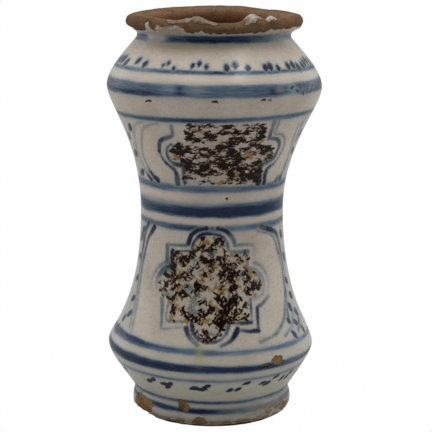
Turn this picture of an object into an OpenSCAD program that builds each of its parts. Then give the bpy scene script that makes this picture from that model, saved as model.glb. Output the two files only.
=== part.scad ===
// Waisted pharmacy jar: a thrown earthenware body under a coat of white tin glaze, worn at its lip and foot.
// The outline runs through seven stations, at each of which the radius is greatest or least, and a smooth
// S-curve joins each station to the next. Its tangent is upright at every station.

/* [Foot] */
// Diameter of the flat that the jar stands on
stand_d = 101.2; // [92:0.2:108]
// Greatest diameter of the foot
foot_d = 111.6; // [110:0.2:118]
// Height of the foot's greatest diameter
foot_h = 6.8; // [5:0.1:9]
// Diameter of the groove above the foot
foot_neck_d = 108; // [100:0.2:110]
// Rise from the foot's greatest diameter to the groove
foot_neck_h = 8.9; // [7:0.1:12]
// Diameter of the shallow hollow under the base
hollow_d = 76; // [50:1:86]
// Depth of the shallow hollow under the base
hollow_depth = 1.6; // [0.5:0.1:3]

/* [Body] */
// Diameter at the lower edge, where the base flare turns in
heel_d = 144; // [130:0.5:156]
// Rise from the foot's groove to the lower edge
heel_h = 32.9; // [26:0.1:42]
// Diameter at the waist
waist_d = 98.6; // [88:0.2:112]
// Rise from the lower edge to the waist
lower_body_h = 96.4; // [85:0.2:120]
// Diameter at the shoulder's edge
shoulder_d = 147.2; // [132:0.2:160]
// Rise from the waist to the shoulder's edge
upper_body_h = 85.6; // [70:0.2:110]

/* [Neck and lip] */
// Diameter at the neck's groove
neck_d = 103.8; // [96:0.2:112]
// Rise from the shoulder's edge to the neck's groove
shoulder_h = 34.1; // [28:0.1:44]
// Diameter of the everted lip
lip_d = 121.2; // [118:0.2:130]
// Rise from the neck's groove to the lip's greatest diameter
lip_h = 10.6; // [9.5:0.1:16]
// Rise from the lip's greatest diameter to its crest
crest_h = 4.7; // [3:0.1:7]
// Distance from the lip's outer edge in to its crest
crest_in = 4.6; // [4:0.1:8]
// Straight stretch inside the throat, below the neck's groove
throat_below = 3; // [2:0.1:6]
// Straight stretch inside the throat, above the neck's groove
throat_above = 6; // [4:0.1:8]

/* [Wall] */
// Wall thickness, measured level
wall = 6.5; // [4:0.1:8]
// Thickness of the floor above the stand
floor_t = 9; // [6:0.1:13]
// Radius of the corner between floor and wall
floor_corner = 6; // [3:0.1:9]

/* [Glaze] */
// Thickness of the white glaze outside
glaze_t = 0.6; // [0.3:0.05:1]
// Thickness of the glaze lining
lining_t = 0.5; // [0.3:0.05:1]
// Bare strip left at the foot
bare_foot = 4.2; // [3:0.1:6]
// Height of the glaze's upper edge above the neck's groove
glaze_above_neck = 5; // [3:0.1:7]
// Distance from the throat down to the lining's edge
lining_below_throat = 2.5; // [1:0.1:8]

/* [Wear] */
// Where the broken stretch of the foot is, from the front, positive to the right
break_angle = -58; // [-90:1:90]
// Radius of the hollow that the break left
break_r = 45; // [30:1:60]
// How far the break reaches in from the foot's greatest diameter, at the stand
break_depth = 6; // [2:0.1:9]
// How far the middle of the break lies below the stand
break_drop = 17; // [12:1:24]
// Radius of the largest flake of glaze left on the lip
flake_r = 6; // [4:0.1:7]

/* [Hidden] */
$fn = 96;
steps = 14;
corner_steps = 8;

// How long each curve stays near its upright tangent, below and above each station
foot_soft = 4;
foot_neck_soft_below = 0.5;
foot_neck_soft_above = 3.9;
heel_soft_below = 7.5;
heel_soft_above = 8.8;
waist_soft_below = 68;
waist_soft_above = 46;
shoulder_soft_below = 12.3;
shoulder_soft_above = 12.8;
neck_soft_below = 2.7;
neck_soft_above = 6;
lip_soft_below = 6;
// How long the foot's lower edge and the lip's crest stay near level
foot_edge_soft = 3.5;
crest_soft_out = 2.8;
crest_soft_in = 1;
lip_soft_above = 2.5;
throat_soft = 5;

foot_z = foot_h;
foot_neck_z = foot_z + foot_neck_h;
heel_z = foot_neck_z + heel_h;
waist_z = heel_z + lower_body_h;
shoulder_z = waist_z + upper_body_h;
neck_z = shoulder_z + shoulder_h;
lip_z = neck_z + lip_h;
top_z = lip_z + crest_h;
throat_bottom = neck_z - throat_below;
throat_top = neck_z + throat_above;
crest_r = lip_d / 2 - crest_in;
throat_r = neck_d / 2 - wall;

// Stations of the outer wall, as radius and height
foot = [foot_d / 2, foot_z];
foot_neck = [foot_neck_d / 2, foot_neck_z];
heel = [heel_d / 2, heel_z];
waist = [waist_d / 2, waist_z];
shoulder = [shoulder_d / 2, shoulder_z];
neck = [neck_d / 2, neck_z];
lip = [lip_d / 2, lip_z];
crest = [crest_r, top_z];

// Chips in the glaze: angle from the front, height, and radius of the bite
chips = [
    [39.5, heel_z + 1.4, 4.6],
    [32, heel_z, 2.6],
    [-20, foot_neck_z + 1, 4.2],
    [-22, foot_neck_z + 4, 3],
    [-7.5, foot_z, 3.4],
    [-58, foot_z + 3, 7.5],
    [-67, foot_z + 4, 6],
    [-50, foot_z + 5, 4.5],
];
// Flakes of glaze left on the lip: angle from the front, and share of the largest flake's radius
flakes = [
    [-46, 0.6],
    [-33, 0.75],
    [-22, 1],
    [-12, 0.7],
    [25, 1],
    [39, 0.6],
];

function bezier(a, b, c, d, t) =
    pow(1 - t, 3) * a + 3 * pow(1 - t, 2) * t * b + 3 * (1 - t) * t * t * c + pow(t, 3) * d;
function curve(a, b, c, d, count) = [for (i = [1:count]) bezier(a, b, c, d, i / count)];
// From one station up to the next, leaving out the first point
function s_curve(p, q, soft_p, soft_q) = curve(p, p + [0, soft_p], q - [0, soft_q], q, steps);
function inward(p, distance) = [p[0] - distance, p[1]];
function reverse(list) = [for (i = [len(list) - 1:-1:0]) list[i]];
function between(list, low, high) = [for (p = list) if (p[1] >= low && p[1] <= high) p];
function unit(v) = v / norm(v);
// The outline moved to the right of its own direction, which is outward on the way up
function moved(list, t) = [
    for (i = [0:len(list) - 1])
        let (along = unit(list[min(i + 1, len(list) - 1)] - list[max(i - 1, 0)]))
        list[i] + t * [along[1], -along[0]]
];
function coat(list, t) = concat(list, reverse(moved(list, t)));

base_outline = [
    for (i = [0:corner_steps])
        let (share = i / corner_steps)
        [hollow_d / 2 * share, hollow_depth * (1 - share * share)]
];
foot_edge = curve(
    [stand_d / 2, 0], [stand_d / 2 + foot_edge_soft, 0], foot - [0, foot_soft], foot, corner_steps
);
outer_wall = concat(
    [[stand_d / 2, 0]],
    foot_edge,
    s_curve(foot, foot_neck, foot_soft, foot_neck_soft_below),
    s_curve(foot_neck, heel, foot_neck_soft_above, heel_soft_below),
    s_curve(heel, waist, heel_soft_above, waist_soft_below),
    s_curve(waist, shoulder, waist_soft_above, shoulder_soft_below),
    s_curve(shoulder, neck, shoulder_soft_above, neck_soft_below),
    s_curve(neck, lip, neck_soft_above, lip_soft_below)
);
lip_crown = curve(lip, lip + [0, lip_soft_above], crest + [crest_soft_out, 0], crest, corner_steps);

floor_edge = [foot_neck_d / 2 - wall, floor_t + floor_corner];
floor_round = [
    for (a = [0:90 / corner_steps:90])
        floor_edge + floor_corner * [sin(a) - 1, -cos(a)]
];
inner_wall = concat(
    [[0, floor_t]],
    floor_round,
    s_curve(floor_edge, inward(heel, wall), foot_neck_soft_above, heel_soft_below),
    s_curve(inward(heel, wall), inward(waist, wall), heel_soft_above, waist_soft_below),
    s_curve(inward(waist, wall), inward(shoulder, wall), waist_soft_above, shoulder_soft_below),
    s_curve(inward(shoulder, wall), [throat_r, throat_bottom], shoulder_soft_above, neck_soft_below)
);
throat = concat(
    [[throat_r, throat_top]],
    curve(
        [throat_r, throat_top], [throat_r, throat_top + throat_soft],
        crest - [crest_soft_in, 0], crest, corner_steps
    )
);
lip_skin = concat([lip], lip_crown);

function outer_r(z) = lookup(z, [for (p = outer_wall) [p[1], p[0]]]);

module at_angle(angle) {
    rotate([0, 0, angle - 90]) children();
}

// The hollow that the break left at the foot, which takes clay and glaze alike
module foot_break() {
    reach = sqrt(break_r * break_r - break_drop * break_drop);
    at_angle(break_angle)
        translate([foot_d / 2 - break_depth + reach, 0, -break_drop])
            sphere(r = break_r);
}

module glaze_chips() {
    for (c = chips)
        at_angle(c[0])
            translate([outer_r(c[1]), 0, c[1]])
                sphere(r = c[2]);
}

module biscuit_body() {
    color("#8a6142")
        difference() {
            rotate_extrude()
                polygon(concat(base_outline, outer_wall, lip_crown, reverse(throat), reverse(inner_wall)));
            foot_break();
        }
}

module exterior_glaze() {
    color("#d8d3c8")
        difference() {
            rotate_extrude()
                polygon(coat(between(outer_wall, bare_foot, neck_z + glaze_above_neck), glaze_t));
            foot_break();
            glaze_chips();
        }
}

module interior_glaze() {
    color("#cfc8ba")
        rotate_extrude()
            polygon(coat(between(inner_wall, 0, throat_bottom - lining_below_throat), -lining_t));
}

module rim_glaze_remnants() {
    color("#ddd9d0")
        for (f = flakes)
            intersection() {
                rotate_extrude()
                    polygon(coat(lip_skin, glaze_t));
                at_angle(f[0])
                    translate([lip[0] - crest_in / 2, 0, top_z])
                        sphere(r = flake_r * f[1]);
            }
}

biscuit_body();
exterior_glaze();
interior_glaze();
rim_glaze_remnants();
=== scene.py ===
"""Looks of a waisted pharmacy jar: worn earthenware under a chipped tin glaze that is painted in cobalt."""

import functools
import itertools
import math
from typing import NamedTuple

import bmesh
import bpy
import numpy as np
from mathutils import Color, Matrix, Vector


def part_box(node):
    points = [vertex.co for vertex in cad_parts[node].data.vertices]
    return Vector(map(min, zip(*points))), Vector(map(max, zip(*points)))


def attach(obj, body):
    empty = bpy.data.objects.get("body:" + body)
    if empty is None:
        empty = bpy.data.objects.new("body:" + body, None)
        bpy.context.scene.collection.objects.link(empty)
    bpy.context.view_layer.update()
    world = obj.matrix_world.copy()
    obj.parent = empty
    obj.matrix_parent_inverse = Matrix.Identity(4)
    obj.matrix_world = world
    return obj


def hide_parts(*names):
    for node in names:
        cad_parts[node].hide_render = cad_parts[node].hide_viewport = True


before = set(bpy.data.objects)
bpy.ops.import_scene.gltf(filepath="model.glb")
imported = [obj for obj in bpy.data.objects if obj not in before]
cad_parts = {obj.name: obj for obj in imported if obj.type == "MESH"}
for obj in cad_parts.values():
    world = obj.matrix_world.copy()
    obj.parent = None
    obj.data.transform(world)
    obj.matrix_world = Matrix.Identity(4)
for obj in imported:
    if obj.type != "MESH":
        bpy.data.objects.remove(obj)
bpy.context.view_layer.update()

bl_info = {
    "name": "Waisted pharmacy jar",
    "version": (1, 0, 0),
    "blender": (4, 5, 0),
    "location": "View3D > Sidebar > Jar",
    "description": "Builds the clay, glaze, painting and wear of a waisted tin-glazed pharmacy jar",
    "category": "Add Mesh",
}

MM = 0.001
# How far this outline may stray from the CAD's box before the script stops
AGREE_MM = 0.3


# Outline, in mm. Every sub-part is turned from this one half section.

WALL = 6.5
FLOOR = 9.0
FLOOR_CORNER = 6.0
HOLLOW_RADIUS = 38.0
HOLLOW_DEPTH = 1.6
STAND_RADIUS = 50.6
CREST_RADIUS = 56.0
THROAT_LOW = 261.7
THROAT_TOP = 270.7
TOP = 280.0
LINING_TOP = 259.2
LINING = 0.5
# How many points the outline's stretches get, and how near two points of it are one
CURVE_STEPS = 60
HOLLOW_POINTS = 20
CORNER_POINTS = 16
FINE_STEPS = 6000
SAME_POINT = 1e-6


class Station(NamedTuple):
    """A place where the radius turns, and how long the wall stays near upright below and above it."""

    radius: float
    height: float
    below: float
    above: float


FOOT = Station(55.8, 6.8, 4.0, 4.0)
FOOT_NECK = Station(54.0, 15.7, 0.5, 3.9)
HEEL = Station(72.0, 48.6, 7.5, 8.8)
WAIST = Station(49.3, 145.0, 68.0, 46.0)
SHOULDER = Station(73.6, 230.6, 12.3, 12.8)
NECK = Station(51.9, 264.7, 2.7, 6.0)
LIP = Station(60.6, 275.3, 6.0, 2.5)
FOOT_EDGE_SOFT = 3.5
CREST_SOFT_OUT = 2.8
CREST_SOFT_IN = 1.0
THROAT_SOFT = 5.0


def bezier(a, b, c, d):
    """Points of one cubic curve, in mm, leaving out the first."""
    t = np.linspace(0, 1, CURVE_STEPS + 1)[1:, None]
    a, b, c, d = (np.array(p, float) for p in (a, b, c, d))
    return (1 - t) ** 3 * a + 3 * (1 - t) ** 2 * t * b + 3 * (1 - t) * t**2 * c + t**3 * d


def s_curve(low, high):
    """The wall from one station up to the next."""
    return bezier(
        (low.radius, low.height),
        (low.radius, low.height + low.above),
        (high.radius, high.height - high.below),
        (high.radius, high.height),
    )


def walls(stations):
    """The wall through all the stations, one curve from each to the next."""
    return [s_curve(low, high) for low, high in zip(stations, stations[1:])]


def inside(station):
    """The same station on the inner wall."""
    return station._replace(radius=station.radius - WALL)


def hollow_points():
    """From the middle of the underside out to the standing ring."""
    share = np.linspace(0, 1, HOLLOW_POINTS)
    return np.stack([HOLLOW_RADIUS * share, HOLLOW_DEPTH * (1 - share**2)], 1)


def floor_points():
    """From the middle of the floor out to where the wall starts up, as a level run and a quarter round."""
    edge = FOOT_NECK.radius - WALL
    bend = np.linspace(0, math.pi / 2, CORNER_POINTS)
    corner = np.stack(
        [edge + FLOOR_CORNER * (np.sin(bend) - 1), FLOOR + FLOOR_CORNER * (1 - np.cos(bend))], 1
    )
    return np.concatenate([[[0.0, FLOOR]], corner])


INNER_STATIONS = (
    inside(FOOT_NECK)._replace(height=FLOOR + FLOOR_CORNER),
    inside(HEEL),
    inside(WAIST),
    inside(SHOULDER),
    Station(NECK.radius - WALL, THROAT_LOW, NECK.below, 0.0),
)
INNER_WALL = np.concatenate([floor_points(), *walls(INNER_STATIONS)])
THROAT_RADIUS = NECK.radius - WALL
OUTER_WALL = np.concatenate(
    [
        [[STAND_RADIUS, 0.0]],
        bezier(
            (STAND_RADIUS, 0),
            (STAND_RADIUS + FOOT_EDGE_SOFT, 0),
            (FOOT.radius, FOOT.height - FOOT.below),
            (FOOT.radius, FOOT.height),
        ),
        *walls((FOOT, FOOT_NECK, HEEL, WAIST, SHOULDER, NECK, LIP)),
        bezier(
            (LIP.radius, LIP.height),
            (LIP.radius, LIP.height + LIP.above),
            (CREST_RADIUS + CREST_SOFT_OUT, TOP),
            (CREST_RADIUS, TOP),
        ),
    ]
)
THROAT = bezier(
    (CREST_RADIUS, TOP),
    (CREST_RADIUS - CREST_SOFT_IN, TOP),
    (THROAT_RADIUS, THROAT_TOP + THROAT_SOFT),
    (THROAT_RADIUS, THROAT_TOP),
)


class Outline:
    """A half section in order, measured by the run along it from its first point, in mm."""

    def __init__(self, points):
        steps = np.hypot(*np.diff(points, axis=0).T)
        points = points[np.concatenate([[True], steps > SAME_POINT])]
        steps = np.hypot(*np.diff(points, axis=0).T)
        self.run = np.concatenate([[0.0], np.cumsum(steps)])
        self.radius, self.height = points.T
        along = np.gradient(points, self.run, axis=0)
        along /= np.hypot(*along.T)[:, None]
        self.out, self.up = along[:, 1], -along[:, 0]

    def at(self, run):
        """Radius, height, and the outward normal's two parts."""
        return [np.interp(run, self.run, v) for v in (self.radius, self.height, self.out, self.up)]

    def spread(self, spacing):
        """Runs from end to end that lie as far apart as spacing(radius, height, run) says."""
        fine = np.linspace(0, self.run[-1], FINE_STEPS)
        radius, height, _, _ = self.at(fine)
        count = np.cumsum(1 / spacing(radius, height, fine)) * (fine[1] - fine[0])
        wanted = np.linspace(count[0], count[-1], int(count[-1]) + 1)
        return np.interp(wanted, count, fine)


BODY = Outline(np.concatenate([hollow_points(), OUTER_WALL, THROAT, INNER_WALL[::-1]]))
STAND_RUN = BODY.run[np.argmin(np.hypot(BODY.radius - STAND_RADIUS, BODY.height))]
CREST_RUN = BODY.run[np.argmax(BODY.height)]


def run_at(height):
    """Run of a height on the outside, from the stand up to the crest."""
    outside = (BODY.run >= STAND_RUN) & (BODY.run <= CREST_RUN)
    return np.interp(height, BODY.height[outside], BODY.run[outside])


def inner_run_at(height):
    """Run of a height inside, from the floor's corner up to the crest."""
    within = (BODY.run >= CREST_RUN) & (BODY.radius > FOOT_NECK.radius - WALL - FLOOR_CORNER)
    return np.interp(height, BODY.height[within][::-1], BODY.run[within][::-1])


# Hand-made unevenness and wear, in mm and degrees. Angles are from the front, positive to the right.

LATTICE = 32


def lumps(points, size, seed):
    """Smooth unevenness from -1 to 1, with bumps of about that size in mm."""
    grid = np.random.default_rng(seed).uniform(-1, 1, (LATTICE,) * 3)
    place_in = points / size
    corner = np.floor(place_in).astype(int)
    share = place_in - corner
    share = share * share * (3 - 2 * share)
    total = np.zeros(points.shape[:-1])
    for step in itertools.product((0, 1), repeat=3):
        weight = np.prod(np.where(step, share, 1 - share), axis=-1)
        x, y, z = np.moveaxis((corner + step) % LATTICE, -1, 0)
        total += weight * grid[x, y, z]
    return total


def ease(value, start, end):
    """0 at start, 1 at end, smooth between."""
    t = np.clip((value - start) / (end - start), 0, 1)
    return t * t * (3 - 2 * t)


class Layer(NamedTuple):
    """Unevenness of one size: its depth, about how wide its bumps are in mm, and its seed."""

    depth: float
    width: float
    seed: int


def uneven(points, layers, middle=0.0):
    """A value that strays from its middle by layers of lumps."""
    for layer in layers:
        middle = middle + layer.depth * lumps(points, layer.width, layer.seed)
    return middle


# Shares of the waver and wear in the jar's sizes
WALL_LAYERS = (Layer(1.0, 40, 1), Layer(0.4, 15, 2))
LIP_LAYERS = (Layer(0.3, 9, 3), Layer(0.3, 3.1, 4), Layer(0.4, 25, 5))
FOOT_LAYERS = (Layer(1.0, 5, 6), Layer(0.6, 1.9, 7))
CHIP_LAYERS = (Layer(0.7, 2.2, 8),)
# Depths in mm: the bite, the glaze's edges and the sway of the painter's hand
BITE_LAYERS = (Layer(0.8, 6, 9), Layer(0.45, 2.3, 10))
UPPER_EDGE_LAYERS = (Layer(0.7, 2.4, 31), Layer(0.45, 1.3, 34))
LOWER_EDGE_LAYERS = (Layer(0.5, 6, 32), Layer(0.3, 2, 33))
SWAY_RIGHT = (Layer(0.35, 17, 21), Layer(0.25, 6, 22))
SWAY_UP = (Layer(0.35, 17, 23), Layer(0.25, 6, 24))
# How far the brush swells and thins, from -1 to 1
SWELL = (Layer(1.0, 11, 25),)


class Chip(NamedTuple):
    """A place where the glaze has come off: where it is, and half its width and height on the surface."""

    angle: float
    height: float
    half_width: float
    half_height: float


CHIPS = (
    Chip(39.5, 50.2, 5.8, 3.0),
    Chip(31.0, 48.8, 3.8, 1.2),
    Chip(-20.0, 16.6, 4.2, 5.2),
    Chip(-7.5, 6.6, 4.2, 2.5),
    Chip(-61.0, 7.8, 13.3, 7.0),
)
# The plug that cuts a chip: its points round, its outer end's width, half its depth and the first one's seed
CHIP_POINTS = 64
CHIP_FLARE = 1.07
CHIP_PLUG = 1.6
CHIP_SEED = 40
# How ragged a chip's edge is: from point to point, and in waves round it, as how many and how deep
CHIP_CHANCE = 0.05
CHIP_WAVES = {many: 0.16 / math.sqrt(many) for many in (2, 3, 5, 8, 13)}
# Where a chip's hollow and its fresh clay start and are full, where 1 is the chip's edge
CHIP_SLOPE = (1.0, 0.62)
CHIP_FRESH = (1.4, 1.15)

# The bite out of the foot: the ball that it fits, as the CAD has it
BITE_ANGLE = math.radians(-58)
BITE_BALL = 45.0
BITE_OUT = 91.5
BITE_DROP = 17.0

# How far wear has rounded the stand's outer edge up off the floor, the radius where that starts, and the
# heights that it fades in between
FOOT_ROUND = 1.0
FOOT_ROUND_FROM = 46.0
FOOT_ROUND_DOWN = (4.0, 0.5)

# Heights that waver and wear fade in between, and how far inside the stand's edge the foot's wear starts
LIP_WEAR_OUTSIDE = (266.5, 272.0)
LIP_WEAR_INSIDE = (250.0, 266.0)
CREST_SHIFT_UP = (268.0, 279.0)
FOOT_WEAR_DOWN = (7.0, 4.0)
FOOT_WEAR_UP = (0.0, 1.0)
WAVER_UP = (1.0, 8.0)
CHIPS_UP = (0.5, 3.0)
STAND_WEAR = 3.0

# The jar's axis wanders a little as it rises: heights, and the shift to the right there
DRIFT_HEIGHTS = (0, 10, 24, 40, 52, 62, 100, 130, 165, 190, 220, 245, 262, 280)
DRIFT_RIGHT = (0.5, 0.7, 0.15, -0.55, -0.5, 0.25, 0.15, -0.3, -0.5, 0.1, 0.6, 0.3, 0.1, 0.0)
# How far the lip's front lies below its middle, and the depth and number of waves round it
LIP_TILT = 2.0
LIP_WAVE = 0.25
LIP_WAVES = 5
# Stretches of the lip that are worn down or still stand up: angle, half spread in degrees, and the change of
# the crest's height
LIP_WORN = (
    (-125, 20, -1.3), (-90, 25, -1.2), (-31, 8, -0.5), (-9.5, 7.5, 1.9), (2, 8, -2.3), (14, 7, -1.8),
    (25.5, 5, 2.4), (39.5, 4, 1.2), (108, 26, -0.8), (143, 12, -0.8),
)

# Height of the glaze's worn upper edge round the lip, at angles from the back round by the front to the back
UPPER_EDGE = (
    (-180, 269.6), (-120, 269.2), (-80, 269.0), (-58, 268.8), (-53, 269.6), (-50, 270.8), (-48.2, 272.5),
    (-47.6, 276.0), (-44.9, 276.6), (-44.2, 273.0), (-42.6, 270.6), (-41, 270.8), (-39, 273.6),
    (-36.5, 274.4), (-33, 275.4), (-30, 276.0), (-26, 275.2), (-22, 275.4), (-19.5, 274.4), (-17.8, 271.4),
    (-14.5, 270.3), (-10, 270.0), (-8, 271.0), (-5, 269.8), (2, 269.7), (16, 269.5), (30, 269.8), (35, 270.2),
    (38, 272.8), (41.5, 271.4), (47, 272.6), (52, 272.0), (60, 273.6), (70, 272.5), (85, 271.6), (110, 270.2),
    (140, 269.4), (180, 269.6),
)
LOWER_EDGE = 3.9


def off_front(angle, centre_deg):
    """Angle from a centre, in radians from -pi to pi."""
    return (angle - math.radians(centre_deg) + math.pi) % (2 * math.pi) - math.pi


def crest_shift(angle):
    """How far the lip's crest lies above its true height at each angle."""
    shift = -LIP_TILT * np.cos(angle) + LIP_WAVE * np.sin(LIP_WAVES * angle)
    for centre, half, change in LIP_WORN:
        shift = shift + change * np.exp(-((np.degrees(off_front(angle, centre)) / half) ** 2))
    return shift


def spot_distance(angle, run, radius, chip):
    """How far a place lies from a chip's middle, 1 at its edge."""
    x = off_front(angle, chip.angle) * radius / chip.half_width
    y = (run - run_at(chip.height)) / chip.half_height
    return np.hypot(x, y)


def place(angle, run, lift, worn=False):
    """Points in mm on the uneven surface, lifted off it. A worn surface also has the chips' hollows,
    the stand's rounded edge and the bite."""
    sizes = bpy.context.scene.jar_sizes
    angle, run, lift = np.broadcast_arrays(angle, run, lift)
    radius, height, out, up = BODY.at(run)
    base = np.stack([radius * np.sin(angle), -radius * np.cos(angle), height], -1)
    lip = ease(run, *run_at(LIP_WEAR_OUTSIDE)) * ease(run, *inner_run_at(LIP_WEAR_INSIDE))
    foot = ease(run, STAND_RUN - STAND_WEAR, STAND_RUN) * ease(run, *run_at(FOOT_WEAR_DOWN))
    push = sizes.waver / MM * uneven(base, WALL_LAYERS) * ease(height, *WAVER_UP)
    push = push + sizes.lip_wear / MM * lip * uneven(base, LIP_LAYERS)
    push = push + sizes.foot_wear / MM * foot * ease(height, *FOOT_WEAR_UP) * uneven(base, FOOT_LAYERS)
    if worn:
        pitted = uneven(base, CHIP_LAYERS, 1.0)
        for chip in CHIPS:
            depth = sizes.chip_depth / MM * ease(spot_distance(angle, run, radius, chip), *CHIP_SLOPE)
            push = push - depth * pitted * ease(height, *CHIPS_UP)
    push = push + lift
    radius = radius + out * push
    height = height + up * push + ease(height, *CREST_SHIFT_UP) * crest_shift(angle)
    x = radius * np.sin(angle) + np.interp(height, DRIFT_HEIGHTS, DRIFT_RIGHT)
    points = np.stack([x, -radius * np.cos(angle), height], -1)
    if worn:
        rounded = ease(radius, FOOT_ROUND_FROM, STAND_RADIUS) * ease(height, *FOOT_ROUND_DOWN)
        points[..., 2] += FOOT_ROUND * rounded
        ball = np.array([BITE_OUT * math.sin(BITE_ANGLE), -BITE_OUT * math.cos(BITE_ANGLE), -BITE_DROP])
        away = points - ball
        reach = np.linalg.norm(away, axis=-1)
        rough = uneven(points, BITE_LAYERS, BITE_BALL)
        points = np.where((reach < rough)[..., None], ball + away * (rough / reach)[..., None], points)
    return points


# Meshes

# Points of a mesh that are nearer than this, in m, are one point
MERGE_WITHIN = 1e-7
# Faces that meet at more than this, in degrees, keep a sharp edge
SHARP_EDGE = 50


def lathe(name, points, closed):
    """A mesh from rows of points in mm that go round the axis. If closed, its last row joins its first."""
    rows, columns = points.shape[:2]
    low = np.arange(rows if closed else rows - 1)
    row, column = np.meshgrid(low, np.arange(columns), indexing="ij")
    above, beside = (row + 1) % rows, (column + 1) % columns
    faces = np.stack(
        [
            row * columns + column,
            row * columns + beside,
            above * columns + beside,
            above * columns + column,
        ],
        -1,
    ).reshape(-1, 4)
    mesh = bpy.data.meshes.new(name)
    mesh.from_pydata((points.reshape(-1, 3) * MM).tolist(), [], faces.tolist())
    left, right = column / columns, (column + 1) / columns
    down, over = row / rows, (row + 1) / rows
    corners = np.stack([left, down, right, down, right, over, left, over], -1)
    mesh.uv_layers.new(name="OFBake").uv.foreach_set("vector", corners.ravel().astype(np.float32))
    shape = bmesh.new()
    shape.from_mesh(mesh)
    bmesh.ops.remove_doubles(shape, verts=shape.verts, dist=MERGE_WITHIN)
    bmesh.ops.recalc_face_normals(shape, faces=shape.faces)
    shape.to_mesh(mesh)
    shape.free()
    return mesh


def show(name, mesh, material, node):
    """Puts a finished mesh in the scene as the piece that stands for a CAD node."""
    mesh.polygons.foreach_set("use_smooth", [True] * len(mesh.polygons))
    mesh.set_sharp_from_angle(angle=math.radians(SHARP_EDGE))
    mesh.materials.clear()
    mesh.materials.append(material)
    piece = bpy.data.objects.new(name, mesh)
    bpy.context.scene.collection.objects.link(piece)
    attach(piece, "root")
    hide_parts(node)


def mesh_points(mesh):
    """Places of a mesh's points, in mm."""
    flat = np.empty(len(mesh.vertices) * 3, np.float32)
    mesh.vertices.foreach_get("co", flat)
    return flat.reshape(-1, 3).astype(float) / MM


def store(mesh, name, values):
    """Keeps one number for each point, for the material to read."""
    mesh.attributes.new(name, "FLOAT", "POINT").data.foreach_set("value", values.astype(np.float32))


def turn(columns):
    """Angles all round the jar, evenly spaced."""
    return np.linspace(-math.pi, math.pi, columns, endpoint=False)


BODY_COLUMNS = 240
GLAZE_FRONT = math.radians(84)
GLAZE_FRONT_COLUMNS = 270
GLAZE_BACK_COLUMNS = 90
GLAZE_ROWS = 420
GLAZE_BACK_ROWS = 74
# Spacing of the clay's rows where it is bare, at the chipped lower edge, and where glaze hides it
BARE_ROWS = 0.8
CHIPPED_ROWS = 0.9
HIDDEN_ROWS = 3.2
# Heights of those places, and how far from the stand's edge and the throat's wall the bare clay's rows start
BARE_LIP_FROM = 256.0
BARE_FOOT_TO = 24.0
CHIPPED_EDGE = (45.0, 54.0)
BARE_STAND = 4.0
BARE_THROAT = 1.0


def glaze_turn():
    """Angles round the jar, close together where the painting is finest."""
    front = np.linspace(-GLAZE_FRONT, GLAZE_FRONT, GLAZE_FRONT_COLUMNS, endpoint=False)
    back = np.linspace(GLAZE_FRONT, 2 * math.pi - GLAZE_FRONT, GLAZE_BACK_COLUMNS, endpoint=False)
    return np.concatenate([front, back])


def body_spacing(radius, height, run):
    """Fine rows where the clay is bare or chipped, coarse where glaze hides it."""
    lip = (height > BARE_LIP_FROM) & (radius > THROAT_RADIUS - BARE_THROAT)
    foot = (run > STAND_RUN - BARE_STAND) & (run < run_at(BARE_FOOT_TO))
    low, high = run_at(CHIPPED_EDGE)
    chipped = (run > low) & (run < high)
    return np.where(lip | foot, BARE_ROWS, np.where(chipped, CHIPPED_ROWS, HIDDEN_ROWS))


# About a whole turn of a wave, in radians
ANY_PHASE = 6.3


def ragged_ring(seed, count, chance_part, waves):
    """Angles round a broken edge, and its radius there, which strays from 1 by chance and in waves."""
    chance = np.random.default_rng(seed)
    around = np.linspace(0, 2 * math.pi, count, endpoint=False)
    ragged = 1 + chance.uniform(-chance_part, chance_part, count)
    for many, depth in waves.items():
        ragged = ragged + depth * np.sin(many * around + chance.uniform(0, ANY_PHASE))
    return around, ragged


# How far inside the stand's edge a plug may reach
PLUG_STAND = 2.0


def chip_cutter(chip, seed):
    """A ragged plug through the glaze, wider at its outer end so that the broken edge slopes."""
    around, ragged = ragged_ring(seed, CHIP_POINTS, CHIP_CHANCE, CHIP_WAVES)
    middle = run_at(chip.height)
    radius = np.interp(middle, BODY.run, BODY.radius)
    inner = [(-CHIP_PLUG, 0.0), (-CHIP_PLUG, 0.5), (-CHIP_PLUG, 1.0), (0.0, 1.0)]
    outer = [(CHIP_PLUG, CHIP_FLARE), (CHIP_PLUG, 0.5), (CHIP_PLUG, 0.0)]
    rings = []
    for lift, reach in inner + outer:
        x = chip.half_width * ragged * reach * np.cos(around)
        y = chip.half_height * ragged * reach * np.sin(around)
        run = np.maximum(middle + y, STAND_RUN - PLUG_STAND)
        rings.append(place(math.radians(chip.angle) + x / radius, run, lift))
    return bpy.data.objects.new("chip_plug", lathe("chip_plug", np.stack(rings), closed=False))


def cut_away(mesh, plugs):
    """The mesh with each plug taken out of it."""
    work = bpy.data.objects.new("glaze_work", mesh)
    bpy.context.scene.collection.objects.link(work)
    for plug in plugs:
        bpy.context.scene.collection.objects.link(plug)
        modifier = work.modifiers.new("chip", "BOOLEAN")
        modifier.operation = "DIFFERENCE"
        modifier.solver = "MANIFOLD"
        modifier.object = plug
    bpy.context.view_layer.update()
    done = bpy.data.meshes.new_from_object(work.evaluated_get(bpy.context.evaluated_depsgraph_get()))
    for thing in [work, *plugs]:
        bpy.data.objects.remove(thing)
    return done


# Painting. Places are in degrees from the front and mm of height; widths are mm on the surface.

# How far from a stroke its colour is worked out, and the load beyond that
FAR = 9.0
UNPAINTED_LOAD = 0.5
# Steps between two places of a stroke, how much wider than written it is drawn, and how far it swells
SMOOTH_STEPS = 4
STROKE_FULLER = 0.3
STROKE_SWELL = 0.2
# How far a band swells, as a share of its half width, and how much of the hand's sway it shows
BAND_SWELL = 0.12
BAND_SWAY = 0.6
# A single touch: its middle's width, how much fuller its top is than its foot, and how much its ends narrow
DAB_MIDDLE = 0.85
DAB_TOP = 0.3
DAB_ENDS = 0.35


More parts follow.
